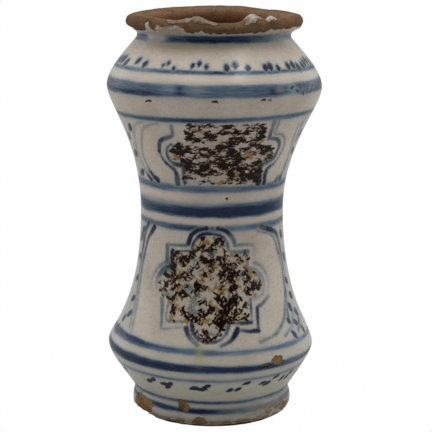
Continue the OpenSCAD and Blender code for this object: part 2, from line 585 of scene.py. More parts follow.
class Band(NamedTuple):
    """A brushed band: its height in front, and how that and its half width change towards the right."""

    height: float
    rise: float
    half_width: float
    taper: float
    load: float


BANDS = (
    Band(265.3, 0.8, 3.0, 0.0, 0.88),
    Band(245.2, 0.0, 1.9, 0.0, 0.72),
    Band(233.7, 0.4, 4.7, -0.3, 0.66),
    Band(214.5, 1.4, 2.2, 0.0, 0.7),
    Band(166.4, 0.0, 3.0, 0.0, 0.62),
    Band(151.8, 0.0, 5.4, 0.0, 0.84),
    Band(139.4, 0.0, 2.6, 0.0, 0.62),
    Band(58.8, -0.8, 2.5, -0.4, 0.6),
    Band(48.0, -1.2, 3.2, -0.7, 0.87),
    Band(39.0, 0.0, 2.0, 0.0, 0.43),
    Band(19.5, 0.0, 2.1, 0.0, 0.72),
    Band(12.8, 0.0, 2.2, 0.0, 0.74),
)


class Touch(NamedTuple):
    """A soft-edged place: where it is, its half spread in degrees and mm, and what it adds there."""

    angle: float
    height: float
    half_angle: float
    half_height: float
    change: float


# Stretches where the brush was fuller or drier
TOUCHES = (
    Touch(-47, 265, 9.5, 5, -1.6),
    Touch(56, 266, 24, 5, -0.55),
    Touch(-28, 265, 12, 5, -0.15),
    Touch(0, 245.2, 18, 3, 0.25),
    Touch(-45, 245.2, 14, 3, -0.2),
    Touch(-23, 235, 6, 5, -0.3),
    Touch(-9, 235, 6, 5, -0.3),
    Touch(-17, 234.5, 2.2, 3, 0.35),
    Touch(8, 234, 22, 4, -0.2),
    Touch(31, 233.5, 2, 2, 0.3),
    Touch(44, 233, 4, 4, -0.3),
    Touch(80, 234, 14, 5, 0.3),
    Touch(-82, 234, 14, 5, 0.25),
    Touch(82, 245.5, 14, 3, 0.35),
    Touch(-45, 230.5, 16, 1.6, 0.4),
    Touch(-5, 214.3, 16, 3, 0.2),
    Touch(32, 215, 20, 3, -0.2),
    Touch(5, 166.4, 30, 3, -0.15),
    Touch(22, 151.8, 18, 4, 0.15),
    Touch(-25, 156.0, 90, 2.4, -0.6),
    Touch(-30, 166.4, 18, 3, -0.15),
    Touch(-55, 151, 25, 7, -0.14),
    Touch(-50, 234.5, 22, 6, -0.1),
    Touch(-15, 139.5, 14, 3, 0.3),
    Touch(22, 139.5, 13, 3, -0.25),
    Touch(-50, 59.5, 18, 3.5, 0.3),
    Touch(20, 58.5, 26, 3, -0.2),
    Touch(52, 47.5, 12, 4, -0.35),
    Touch(-29, 39, 10, 2, 0.3),
    Touch(-8, 39, 5, 2, 0.3),
    Touch(-9, 12.8, 11, 2.5, 0.5),
    Touch(-35, 12.8, 9, 2.5, 0.5),
    Touch(45, 12.8, 30, 2.5, -0.55),
    Touch(30, 19.5, 20, 2.5, -0.2),
    Touch(-38, 19.5, 14, 2.5, -0.25),
)


class Paint:
    """One colour: the mm to its nearest stroke's edge, negative inside, and that stroke's load."""

    def __init__(self, count):
        self.edge = np.full(count, FAR)
        self.load = np.full(count, UNPAINTED_LOAD)

    def lay(self, edge, load, pick=slice(None)):
        """Adds a stroke where its edge is nearer than the others'."""
        nearer = edge < self.edge[pick]
        self.edge[pick] = np.where(nearer, edge, self.edge[pick])
        self.load[pick] = np.where(nearer, load, self.load[pick])


PAINTER_SEED = 11


class Painter:
    """Knows where each point of the glaze lies, and lays strokes there."""

    def __init__(self, points):
        self.angle = np.arctan2(points[:, 0], -points[:, 1])
        self.height = points[:, 2]
        self.run = run_at(self.height)
        self.radius = np.hypot(points[:, 0], points[:, 1])
        self.chance = np.random.default_rng(PAINTER_SEED)
        self.sway_x = uneven(points, SWAY_RIGHT)
        self.sway_y = uneven(points, SWAY_UP)
        self.swell = uneven(points, SWELL)
        self.cobalt, self.line, self.brown, self.russet, self.ochre, self.green = (
            Paint(len(points)) for _ in range(6)
        )

    def near(self, angle, height, reach):
        """Which points lie about that near to a place."""
        level = np.flatnonzero(np.abs(self.run - run_at(height)) < reach)
        return level[np.abs(off_front(self.angle[level], angle)) * self.radius[level] < reach]

    def local(self, angle, height, pick=slice(None)):
        """mm to the right of a place and up the surface from it."""
        right = off_front(self.angle[pick], angle) * self.radius[pick]
        return right + self.sway_x[pick], self.run[pick] - run_at(height) + self.sway_y[pick]

    def band(self, band):
        """A band all round the jar."""
        side = np.sin(off_front(self.angle, 0))
        middle = run_at(band.height + band.rise * side)
        half = band.half_width + band.taper * side + BAND_SWELL * band.half_width * self.swell
        self.cobalt.lay(np.abs(self.run - middle + BAND_SWAY * self.sway_y) - half, band.load)

    def dab(self, paint, angle, height, length, half_width, lean, load):
        """A single touch of a loaded brush, leaning from upright by that many degrees, fuller at its top."""
        pick = self.near(angle, height, length + FAR)
        x, y = self.local(angle, height, pick)
        dx, dy = math.sin(math.radians(lean)), math.cos(math.radians(lean))
        along = np.clip((x * dx + y * dy) / length, -0.5, 0.5)
        half = half_width * (DAB_MIDDLE + DAB_TOP * along) * (1 - DAB_ENDS * (2 * along) ** 2)
        paint.lay(np.hypot(x - along * length * dx, y - along * length * dy) - half, load, pick)

    def stroke(self, paint, stroke, turned):
        """A pull of the brush along a smooth line, turned round the jar by that many degrees."""
        line = smooth(stroke.places) + (turned, 0)
        halves, loads = (np.linspace(*ends, len(line)) for ends in (stroke.half_widths, stroke.loads))
        for (angle, height), (to_angle, to_height), half, load in zip(line, line[1:], halves, loads):
            pick = self.near(angle, height, FAR)
            x, y = self.local(angle, height, pick)
            dx = math.radians(to_angle - angle) * self.radius[pick]
            dy = run_at(to_height) - run_at(height)
            share = np.clip((x * dx + y * dy) / (dx * dx + dy * dy), 0, 1)
            wide = (half + STROKE_FULLER) * (1 + STROKE_SWELL * self.swell[pick])
            paint.lay(np.hypot(x - share * dx, y - share * dy) - wide, load, pick)

    def spots(self, places):
        """The sum of soft-edged touches."""
        total = np.zeros(len(self.angle))
        for t in places:
            x = np.degrees(off_front(self.angle, t.angle)) / t.half_angle
            y = (self.height - t.height) / t.half_height
            total += t.change * np.exp(-(x * x + y * y))
        return total


def smooth(places):
    """Points of a smooth line through the places."""
    p = np.array([places[0], *places, places[-1]], float)
    t = np.linspace(0, 1, SMOOTH_STEPS, endpoint=False)[:, None]
    parts = [
        0.5 * (2 * b + (c - a) * t + (2 * a - 5 * b + 4 * c - d) * t**2 + (3 * b - a - 3 * c + d) * t**3)
        for a, b, c, d in zip(p, p[1:], p[2:], p[3:])
    ]
    return np.concatenate([*parts, p[-1:]])


def box_gap(x, y, half_width, half_height):
    """Signed distance to a rectangle, negative inside."""
    across, up = np.abs(x) - half_width, np.abs(y) - half_height
    return np.hypot(np.maximum(across, 0), np.maximum(up, 0)) + np.minimum(np.maximum(across, up), 0)


def merged(a, b, soft):
    """Union of two shapes by signed distance, with a fillet of about that size between them."""
    h = np.clip(0.5 + 0.5 * (b - a) / soft, 0, 1)
    return b + (a - b) * h - soft * h * (1 - h)


class Cartouche(NamedTuple):
    """A rectangle with round lobes: its middle, its ends' heights and half its width. A lobe has how far its
    middle lies beyond its side, and its radius, where 0 leaves it out."""

    angle: float
    low: float
    high: float
    half_width: float
    side_lobe: tuple
    top_lobe: tuple
    bottom_lobe: tuple
    fillet: float


UPPER_FIELD = Cartouche(7.5, 169.5, 212.0, 27.2, (0.5, 9.0), (0, 0), (0, 0), 2.0)
LOWER_FIELD = Cartouche(-1.5, 76.3, 123.0, 27.6, (-0.6, 11.0), (0.5, 11.6), (1.5, 10.5), 0.6)


def cartouche_gap(painter, c):
    """Signed distance to a cartouche's line, negative inside."""
    half_height = (run_at(c.high) - run_at(c.low)) / 2
    x, y = painter.local(c.angle, c.low)
    y = y - half_height
    gap = box_gap(x, y, c.half_width, half_height)
    middle = run_at((c.low + c.high) / 2) - run_at(c.low) - half_height
    for (beyond, size), to_side, to_top in (
        (c.side_lobe, -1, 0),
        (c.side_lobe, 1, 0),
        (c.top_lobe, 0, 1),
        (c.bottom_lobe, 0, -1),
    ):
        if size:
            across = to_side * (c.half_width + beyond)
            up = to_top * (half_height + beyond) + abs(to_side) * middle
            gap = merged(gap, np.hypot(x - across, y - up) - size, c.fillet)
    return gap


class Stroke(NamedTuple):
    """A pull of the brush through places, in degrees and mm. Its half width and load go from end to end."""

    places: tuple
    half_widths: tuple
    loads: tuple


# The lobed frames, as double lines that thicken and darken where the brush was set down or lifted
STROKES = (
    # Upper panel, left side
    Stroke(
        ((-33, 210.8), (-41, 208.5), (-47, 205.2), (-54.5, 193), (-56.5, 187), (-55.5, 181), (-52, 175.5)),
        (0.9, 1.4), (0.34, 0.4),
    ),
    Stroke(((-52, 175.5), (-48, 172.6), (-44.2, 170.4)), (1.5, 2.2), (0.66, 0.97)),
    Stroke(
        ((-45, 210.8), (-52, 208), (-58, 202.5), (-63.5, 191), (-62.5, 183), (-58, 174.5)),
        (1.2, 1.5), (0.3, 0.35),
    ),
    Stroke(((-58, 174.5), (-55, 171.8), (-51.7, 169.7)), (1.4, 1.9), (0.55, 0.87)),
    Stroke(
        ((-24.3, 210), (-24.8, 204.5), (-26, 202.5), (-33, 199.8), (-36, 196.5), (-37.4, 190.5)),
        (1.3, 1.7), (0.42, 0.9),
    ),
    Stroke(((-37.4, 190.5), (-36, 186), (-32, 181.7), (-27.5, 178.8), (-26.2, 175)), (1.2, 1.4), (0.7, 0.75)),
    Stroke(((-26.2, 175), (-26.2, 169.4)), (1.8, 2.3), (0.62, 0.72)),
    Stroke(
        ((-26.5, 197), (-30, 194.5), (-31.4, 189), (-29.5, 185), (-26, 183), (-20.5, 182.6)),
        (1.0, 2.0), (0.5, 0.75),
    ),
    Stroke(((-20.6, 182), (-20.4, 170.6)), (1.4, 1.6), (0.6, 0.65)),
    # Upper panel, right side
    Stroke(
        (
            (39.5, 213), (39.6, 206), (40.6, 203.6), (46, 202.8),
            (51.5, 198.5), (53.3, 193), (51.5, 187), (47.5, 181.8),
        ),
        (1.2, 1.4), (0.35, 0.42),
    ),
    Stroke(((47.5, 181.8), (42.8, 179.3), (41.5, 176), (41.8, 169.2)), (1.4, 2.1), (0.54, 0.92)),
    Stroke(((36, 213), (36.3, 200.8)), (1.6, 1.6), (0.45, 0.66)),
    Stroke(
        ((37.5, 200.9), (43, 199.8), (46.8, 197), (48, 193), (46, 187), (41, 183.6), (36.6, 182.3)),
        (1.4, 1.9), (0.62, 0.65),
    ),
    Stroke(((36.2, 182.3), (35, 179), (35.8, 169.6)), (2.0, 2.6), (0.8, 0.95)),
    Stroke(((64, 214), (61, 205), (66, 186), (64, 174), (57, 169.8)), (1.3, 1.9), (0.2, 0.6)),
    Stroke(((68, 214), (66, 206), (70, 196)), (1.4, 1.6), (0.35, 0.6)),
    Stroke(((63.5, 175), (62, 168.8)), (1.0, 1.7), (0.6, 0.95)),
    Stroke(((57.5, 172.6), (55.4, 169)), (0.8, 1.5), (0.5, 0.9)),
    # Lower panel, rounded sides
    Stroke(((-51.6, 136.4), (-56, 132)), (2.2, 1.8), (0.92, 0.85)),
    Stroke(
        ((-56, 132), (-60.5, 126), (-64.5, 115), (-66, 105), (-64.5, 92), (-57, 64)),
        (1.5, 2.0), (0.7, 0.28),
    ),
    Stroke(
        ((-59.5, 138.5), (-65.5, 130.5), (-69.5, 117), (-70.5, 105), (-68, 92), (-61, 66)),
        (2.0, 1.5), (0.75, 0.3),
    ),
    Stroke(((-70.5, 131.5), (-62, 134.5)), (2.2, 1.6), (0.8, 0.7)),
    Stroke(((41.5, 138.8), (48, 137), (54, 135.2)), (1.8, 2.0), (0.75, 1.0)),
    Stroke(((54, 135.2), (61, 131.5), (66, 124), (69, 113), (70.5, 104)), (1.6, 1.3), (0.7, 0.4)),
    Stroke(
        ((38, 136.2), (48, 134), (56, 130), (61, 123), (65.5, 112), (66.5, 103), (64, 90)),
        (0.9, 1.3), (0.45, 0.4),
    ),
    Stroke(((61.5, 121.5), (64, 116.5)), (1.7, 1.5), (0.4, 0.57)),
    Stroke(((71, 104.5), (68, 95), (64, 85), (59, 73)), (1.4, 1.5), (0.4, 0.65)),
    Stroke(((64, 89.5), (60.5, 82.5), (55, 75), (48, 69.6), (40, 65.4), (30, 63.4)), (1.8, 1.3), (0.5, 0.42)),
    Stroke(((68, 76), (61, 68.5), (50, 63.8)), (1.9, 1.4), (0.42, 0.36)),
    Stroke(((73, 69), (65, 63)), (2.0, 1.5), (0.6, 0.5)),
    # Lower cartouche, upper half
    Stroke(((-18.6, 128.5), (-16.5, 134), (-12, 138), (-4, 140)), (1.7, 1.4), (0.95, 1.0)),
    Stroke(((4, 140), (11, 137.6), (16, 132.4), (18, 128)), (1.4, 1.4), (0.95, 0.5)),
    Stroke(((-15.5, 125.5), (-13.5, 130.5), (-8, 135.5), (-1.5, 136.8)), (1.0, 1.4), (0.75, 1.0)),
    Stroke(((-1.5, 136.8), (6, 135), (11, 130.5), (13, 124.5)), (1.2, 1.1), (0.95, 0.38)),
    Stroke(((-19, 127.4), (-35.5, 126.4)), (1.3, 1.2), (0.52, 0.44)),
    Stroke(((-36.2, 126), (-36, 115.6)), (1.7, 1.6), (0.55, 0.68)),
    Stroke(((-13, 124), (-31, 122.4)), (1.1, 0.9), (0.6, 0.6)),
    Stroke(((-31.2, 122.6), (-31.6, 112.6)), (1.9, 1.9), (0.95, 0.8)),
    Stroke(
        ((-33, 114.6), (-38, 113.8), (-44.5, 109.5), (-48.6, 103), (-49, 97.5), (-45.5, 92)),
        (1.5, 0.9), (0.52, 0.1),
    ),
    Stroke(((-32, 111.2), (-38, 109.3), (-42.6, 104.8), (-44, 99), (-41, 92.8)), (2.4, 1.2), (0.85, 0.1)),
    Stroke(((18, 127.8), (33.4, 127), (33.6, 116)), (1.1, 1.0), (0.48, 0.1)),
    Stroke(((14, 124), (28, 123)), (1.1, 1.7), (0.35, 0.8)),
    Stroke(((28, 121.6), (28, 111.5)), (0.8, 0.9), (0.5, 0.38)),
    Stroke(((34, 115), (40.5, 111.8), (45, 105.5), (46, 99.5), (44.5, 93.5)), (1.4, 1.0), (0.42, 0.12)),
    Stroke(((28, 111), (34, 109.3), (39, 105), (40.6, 99), (38, 92.8), (31, 90.3)), (2.3, 1.6), (0.42, 0.22)),
    # Lower cartouche, lower half
    Stroke(((-36.6, 89.6), (-34.6, 80), (-33, 70.8)), (1.8, 0.9), (0.52, 0.42)),
    Stroke(((-33, 70.8), (-18, 73.4)), (1.0, 0.9), (0.4, 0.25)),
    Stroke(((-30.5, 91.5), (-30, 77), (-14, 77.6)), (0.8, 1.1), (0.5, 0.32)),
    Stroke(((-12.5, 77.6), (-11, 71.5), (-7, 67), (-1, 65.4), (5, 66.4), (9, 70)), (1.5, 1.0), (0.75, 0.5)),
    Stroke(((9, 70), (11.4, 77)), (1.2, 1.5), (0.6, 0.75)),
    Stroke(((-15.6, 73), (-12.5, 67.4), (-7.5, 63.2)), (2.0, 1.2), (0.75, 0.38)),
    Stroke(((16.6, 72.6), (12.4, 66.8), (6, 63)), (2.0, 1.2), (0.95, 0.55)),
    Stroke(((12, 76.6), (26.4, 76.2)), (1.0, 1.5), (0.4, 1.0)),
    Stroke(((28, 91), (27, 78)), (0.9, 0.9), (0.62, 0.5)),
    Stroke(((43.8, 91.6), (38, 87.4), (32.6, 85.2)), (1.5, 1.3), (0.36, 0.75)),
    Stroke(((32.4, 85), (30.6, 71)), (1.3, 1.3), (0.85, 0.62)),
    Stroke(((30.6, 70.6), (23, 71.2), (17, 72.4)), (1.6, 0.9), (1.0, 0.5)),
)
# Wide strokes at the lower panel's base and in the foot's groove, in the bands' own blue
BASE_STROKES = (
    Stroke(((-80, 59.4), (-62, 60.2), (-45, 59.8), (-32, 58.8)), (3.1, 1.7), (0.85, 0.62)),
    Stroke(((-88, 17.4), (-62, 16.6)), (2.4, 1.4), (0.5, 0.35)),
    Stroke(((25, 19.3), (45, 19), (66, 18.4), (88, 18.2)), (1.2, 3.2), (0.55, 0.42)),
)
# Places of single touches, in degrees and mm: sprigs above the shoulder's line and the foot, and leaves at
# the panels' sides
SHOULDER_DABS = (
    (-78, 248.6), (-73, 249.4), (-68.5, 249.4), (-62.5, 247.6), (-50.5, 250), (-43.3, 248.3), (-30, 248.5),
    (-27, 250), (-22.7, 246.9), (-12, 248.8), (-8.2, 250.3), (-4, 248.5), (7.5, 248), (12.5, 249.6),
    (19.5, 247.5), (30.5, 247.8), (34, 248.2), (39, 246.9), (47.3, 247.5), (52, 248), (56.5, 246.7),
    (62, 246.9), (66, 248.3), (71, 249.4), (77, 248.4),
)
FOOT_DABS = (
    (-40, 32.8), (-36, 35), (-29, 33.2), (-27, 31), (-24.5, 33.8), (-10, 32.5), (-5.5, 31.8), (-2.5, 34.6),
    (11.5, 31), (16.8, 31.2), (21.3, 36), (32.3, 34), (36.2, 32.8), (41.5, 37), (48, 33.5), (53, 33),
    (55.5, 36),
)
SIDE_DABS = (
    (-62, 204.3), (-71, 197), (-70, 185), (-65, 172.6), (73, 200), (72, 188), (-74, 126), (-76, 112),
    (-74, 97), (-71, 83), (-68, 73), (-74, 68), (-78, 60), (58.5, 71), (66, 78.5), (66.5, 68.5), (59.5, 61.8),
    (74, 85), (74, 73.5), (73, 62), (72, 129), (76, 112), (72, 96),
)
# Stray dark touches in the shoulder's band: angle, height and lean
STRAY_MARKS = ((44, 234.6, 70), (47.5, 232.6, 120), (52.5, 231.0, 10), (60, 231.5, 40), (62.5, 234.5, 80))

# Sprigs round the back: their angles, and for each touch how far round it is from that, and its height
SHOULDER_BEHIND = range(90, 281, 20)
SHOULDER_SPRIG = ((-4.6, 247.6), (0.2, 249.8), (4.8, 247))
FOOT_BEHIND = range(72, 300, 20)
FOOT_SPRIG = ((-5.2, 32.4), (-0.4, 31.8), (3.9, 35))

# Touches' lengths, half widths and loads, each between two values, and how far their lean strays
SHOULDER_DAB = ((3.0, 4.0), (2.4, 2.9), (0.8, 1.0))
SHOULDER_HEART_LOAD = (0.9, 1.0)
SHOULDER_STRAY = 10
FOOT_DAB = ((3.6, 5.0), (2.0, 2.5), 1.25)
FOOT_LEAN = 62
FOOT_STRAY = 22
SIDE_DAB = ((4.0, 6.5), (2.7, 3.6), (0.85, 1.0))
SIDE_LEAN_LEFT = 50
SIDE_LEAN_RIGHT = -40
SIDE_STRAY = 15
STRAY_DAB = (3.5, 1.6, 1.0)
# How the shoulder's touches change with the angle: their size as a share of the usual one, their lean, and
# how much more colour the outer ones have
SHOULDER_SIZE = ((-70, -40, -31, -4, 7, 40, 68), (1.5, 1.2, 0.75, 1.0, 1.2, 1.15, 1.45))
SHOULDER_LEAN = ((-50, -25), (28, 5))
SHOULDER_FULLER = ((55, 68), (1.0, 1.35))
# Size of the dark heart in a shoulder's touch, as shares of the touch's length and half width
HEART_LENGTH = 0.9
HEART_HALF = 0.8


def sprigs(middles, sprig):
    """Places of the touches of a sprig at each of those angles."""
    return [(middle + off, height) for middle in middles for off, height in sprig]


def single_dabs(painter):
    """The touches that the photo's side shows, and more of them at the same spacing behind."""
    chance = painter.chance
    lengths, halves, loads = SHOULDER_DAB
    for angle, height in (*SHOULDER_DABS, *sprigs(SHOULDER_BEHIND, SHOULDER_SPRIG)):
        lean = np.interp(angle, *SHOULDER_LEAN) + chance.uniform(-SHOULDER_STRAY, SHOULDER_STRAY)
        size = np.interp(angle, *SHOULDER_SIZE)
        fuller = np.interp(abs(angle), *SHOULDER_FULLER)
        long, wide = size * chance.uniform(*lengths), size * chance.uniform(*halves)
        painter.dab(painter.cobalt, angle, height, long, wide, lean, chance.uniform(*loads))
        heart = fuller * chance.uniform(*SHOULDER_HEART_LOAD)
        painter.dab(painter.line, angle, height, HEART_LENGTH * long, HEART_HALF * wide, lean, heart)
    lengths, halves, load = FOOT_DAB
    for angle, height in (*FOOT_DABS, *sprigs(FOOT_BEHIND, FOOT_SPRIG)):
        lean = FOOT_LEAN + chance.uniform(-FOOT_STRAY, FOOT_STRAY)
        long, wide = chance.uniform(*lengths), chance.uniform(*halves)
        painter.dab(painter.line, angle, height, long, wide, lean, load)
    long, wide, load = STRAY_DAB
    for angle, height, lean in STRAY_MARKS:
        painter.dab(painter.line, angle, height, long, wide, lean, load)
    lengths, halves, loads = SIDE_DAB
    for turned in (0, 180):
        for angle, height in SIDE_DABS:
            lean = SIDE_LEAN_LEFT if angle < 0 else SIDE_LEAN_RIGHT
            lean = lean + chance.uniform(-SIDE_STRAY, SIDE_STRAY)
            long, wide = chance.uniform(*lengths), chance.uniform(*halves)
            painter.dab(painter.line, angle + turned, height, long, wide, lean, chance.uniform(*loads))


# Leaves' places and sizes in mm: in from the field's line, from leaf to leaf, the shortest leaf, and the
# width of a patch of one colour. Their lean strays by some degrees.
LEAF_MARGIN = 0.6
LEAF_APART = 1.5
LEAF_SHORTEST = 1.4
TINT_PATCH = 6.0
LEAF_STRAY = 25
# Clumps run from -1 to 1. Leaves are dark above the first value and fullest from the second, thin or coloured
# down to the third, and there are none below that
DARK_FROM = 0.06
DARK_FULL = 0.5
THIN_FROM = -0.3
# Half widths of a dark leaf where its clump starts and is fullest, how chance changes that, and a thin one's
DARK_HALF = (0.5, 1.25)
DARK_CHANCE = (0.7, 1.2)
THIN_HALF = (0.3, 0.7)
# How much wider an ochre or green leaf is than a thin brown one
TINT_WIDER = 2.4
# Which of the edge's colours a patch gets: the middle one's share, and how far the patches move it
TINT_MIDDLE = 0.54
TINT_SPREAD = 0.8
TINT_LAST = 0.999


class Filling(NamedTuple):
    """How a field's leaves lie: their lean, how flat and wide their clumps are, and the longest's length."""

    lean: float
    flat: float
    patch: float
    longest: float
    seed: int


UPPER_FILLING = Filling(78, 1.6, 3.9, 4.8, 26)
LOWER_FILLING = Filling(45, 1.2, 3.3, 3.6, 27)


def leaf_filling(painter, gap, edge_hues, filling):
    """Small leaf touches that clump into dark sprays with bare ground between, and a few thin or coloured
    ones at the sprays' edges. They lean to either side."""
    chance = painter.chance
    across = painter.angle * painter.radius
    spread = np.stack([across, filling.flat * painter.run, 0 * across], -1)
    clump, tint = lumps(spread, filling.patch, filling.seed), lumps(spread, TINT_PATCH, filling.seed + 10)
    taken = np.empty((0, 2))
    for spot in chance.permutation(np.flatnonzero(gap < -LEAF_MARGIN)):
        middle = (across[spot], painter.run[spot])
        if len(taken) and np.hypot(*(taken - middle).T).min() < LEAF_APART:
            continue
        taken = np.append(taken, [middle], axis=0)
        if clump[spot] > DARK_FROM:
            hue = painter.brown
            half = np.interp(clump[spot], (DARK_FROM, DARK_FULL), DARK_HALF) * chance.uniform(*DARK_CHANCE)
        elif clump[spot] > THIN_FROM:
            share = np.clip(TINT_MIDDLE + TINT_SPREAD * tint[spot], 0, TINT_LAST)
            hue = edge_hues[int(share * len(edge_hues))]
            half = chance.uniform(*THIN_HALF) * (TINT_WIDER if hue in (painter.ochre, painter.green) else 1)
        else:
            continue
        angle, height = math.degrees(painter.angle[spot]), painter.height[spot]
        long = chance.uniform(LEAF_SHORTEST, filling.longest)
        lean = chance.choice((-filling.lean, filling.lean)) + chance.uniform(-LEAF_STRAY, LEAF_STRAY)
        painter.dab(hue, angle, height, long, half, lean, 1.0)


# Dark pits in the glaze: angle, height, length, half width
PITS = (
    (-34.5, 226.2, 3, 1.0), (-36.5, 225.5, 1, 0.8), (0.8, 227.2, 3.5, 0.8), (26, 227.8, 3, 0.7),
    (29.5, 227.5, 2, 0.8), (11, 160, 1, 1.1),
)
PIT_LEAN = 90
PIT_LOAD = 0.8

# Soft patches in the glaze, by what they are: dirt, a run of colour, warm thin glaze with painted shade, and
# paler glaze with painted light
PATCHES = {
    "dirt": (
        Touch(52, 7, 20, 4, 1.0),
        Touch(66, 10, 12, 4, 0.8),
        Touch(12, 5.0, 44, 2.3, 1.0),
        Touch(-35, 5.2, 30, 2.4, 0.8),
        Touch(35, 13, 24, 4, 0.5),
        Touch(150, 5, 60, 2.5, 0.6),
        Touch(-130, 5, 50, 2.5, 0.6),
        Touch(-30, 274, 13, 4, 0.95),
        Touch(-15, 273, 8, 3, 0.6),
        Touch(50, 272.5, 20, 2.5, 0.4),
    ),
    "drip": (
        Touch(-6, 58.5, 3, 6.5, 0.6),
        Touch(36, 234.5, 2.2, 2, 0.35),
    ),
    # Painted shade under the lip's overhang round the neck, in the warm glaze's colour; and warm glaze lying
    # thin over the heel's edge
    "thin": (
        Touch(-18, 259.5, 28, 4.5, 0.9),
        Touch(55, 256, 25, 6, 0.5),
        Touch(-65, 257, 14, 5, 0.5),
        Touch(10, 54, 60, 4, 0.35),
    ),
    # Painted light: paler glaze on the left of the waist and on the shoulder's front, where more light falls.
    # Also paler beside the upper panel.
    "pale": (
        Touch(-38, 161, 32, 6, 1.0),
        Touch(-15, 144, 60, 5, 0.9),
        Touch(-8, 243, 42, 7, 0.8),
        Touch(-46, 190, 13, 18, 0.35),
        Touch(58, 190, 10, 18, 0.35),
    ),
}
# Blue bled into the white at the panels' lower corners and the shoulder's sides
BLED_CORNERS = (
    Touch(66, 67, 12, 11, 0.8),
    Touch(-70, 65, 8, 7, 0.3),
    Touch(84, 247, 12, 5, 0.8),
    Touch(-84, 247, 11, 6, 0.6),
)
# It also bled all over the strips between the panels: how much, how far round from the front, as a sine, and
# the heights where the lower and the upper strip fade in and out
BLED_STRIPS = 0.4
BLED_ROUND = (0.86, 0.93)
LOWER_STRIP = ((62, 68), (141, 135))
UPPER_STRIP = ((168, 172), (215, 211))
# Thick glaze near the foot: how much cooler it is, and the heights that this fades in between
COOLER = 0.55
COOLER_DOWN = (60, 40)
# The most colour that a brush lays, and how far from a field's line its greying starts and is full
LOAD_MOST = 1.25
FIELD_IN = (0.5, -1.5)


def paint_jar(points):
    """Every painted layer at each point of the glaze, by name."""
    painter = Painter(points)
    for band in BANDS:
        painter.band(band)
    single_dabs(painter)
    for turned in (0, 180):
        for stroke in STROKES:
            painter.stroke(painter.line, stroke, turned)
        for stroke in BASE_STROKES:
            painter.stroke(painter.cobalt, stroke, turned)
    fields = [cartouche_gap(painter, field) for field in (UPPER_FIELD, LOWER_FIELD)]
    brown, russet, ochre, green = painter.brown, painter.russet, painter.ochre, painter.green
    leaf_filling(painter, fields[0], (ochre, *(russet, brown) * 5), UPPER_FILLING)
    leaf_filling(painter, fields[1], (green, brown, brown, russet, ochre, ochre, ochre), LOWER_FILLING)
    for angle, height, length, half in PITS:
        painter.dab(brown, angle, height, length, half, PIT_LEAN, PIT_LOAD)
    height = painter.height
    strips = sum(ease(height, *low) * ease(height, *high) for low, high in (LOWER_STRIP, UPPER_STRIP))
    strips = BLED_STRIPS * ease(np.abs(np.sin(painter.angle)), *BLED_ROUND) * strips
    return {
        "cobalt_edge": painter.cobalt.edge,
        "cobalt_load": np.clip(painter.cobalt.load * (1 + painter.spots(TOUCHES)), 0, LOAD_MOST),
        "line_edge": painter.line.edge,
        "line_load": painter.line.load,
        "brown_edge": brown.edge,
        "russet_edge": russet.edge,
        "ochre_edge": ochre.edge,
        "green_edge": green.edge,
        **{name: np.clip(painter.spots(places), 0, 1) for name, places in PATCHES.items()},
        "cool": COOLER * ease(height, *COOLER_DOWN),
        "tinted": strips + painter.spots(BLED_CORNERS),
        "field": ease(np.minimum(*fields), *FIELD_IN),
    }


# Colours and materials


def linear(code):
    """Linear colour of an sRGB hex code."""
    parts = [int(code[i : i + 2], 16) / 255 for i in (1, 3, 5)]
    return [p / 12.92 if p <= 0.04045 else ((p + 0.055) / 1.055) ** 2.4 for p in parts]


def colour(name, description, code):
    """A colour that a user may change."""
    return bpy.props.FloatVectorProperty(
        name=name, description=description, subtype="COLOR", size=3, min=0, max=1, default=linear(code)
    )


def length(name, description, value_mm):
    """A length that a user may change."""
    return bpy.props.FloatProperty(
        name=name, description=description, unit="LENGTH", min=0, default=value_mm * MM
    )


class JarSizes(bpy.types.PropertyGroup):
    """Depths of glaze, unevenness and wear."""

    glaze: length("Glaze", "Thickness of the outer glaze", 0.6)
    waver: length("Waver", "How far the thrown wall strays from a true round", 0.16)
    lip_wear: length("Lip wear", "How lumpy the bare lip is", 0.5)
    foot_wear: length("Foot wear", "How lumpy the bare foot is", 0.3)
    chip_depth: length("Chip depth", "How deep the chips go into the clay", 0.55)


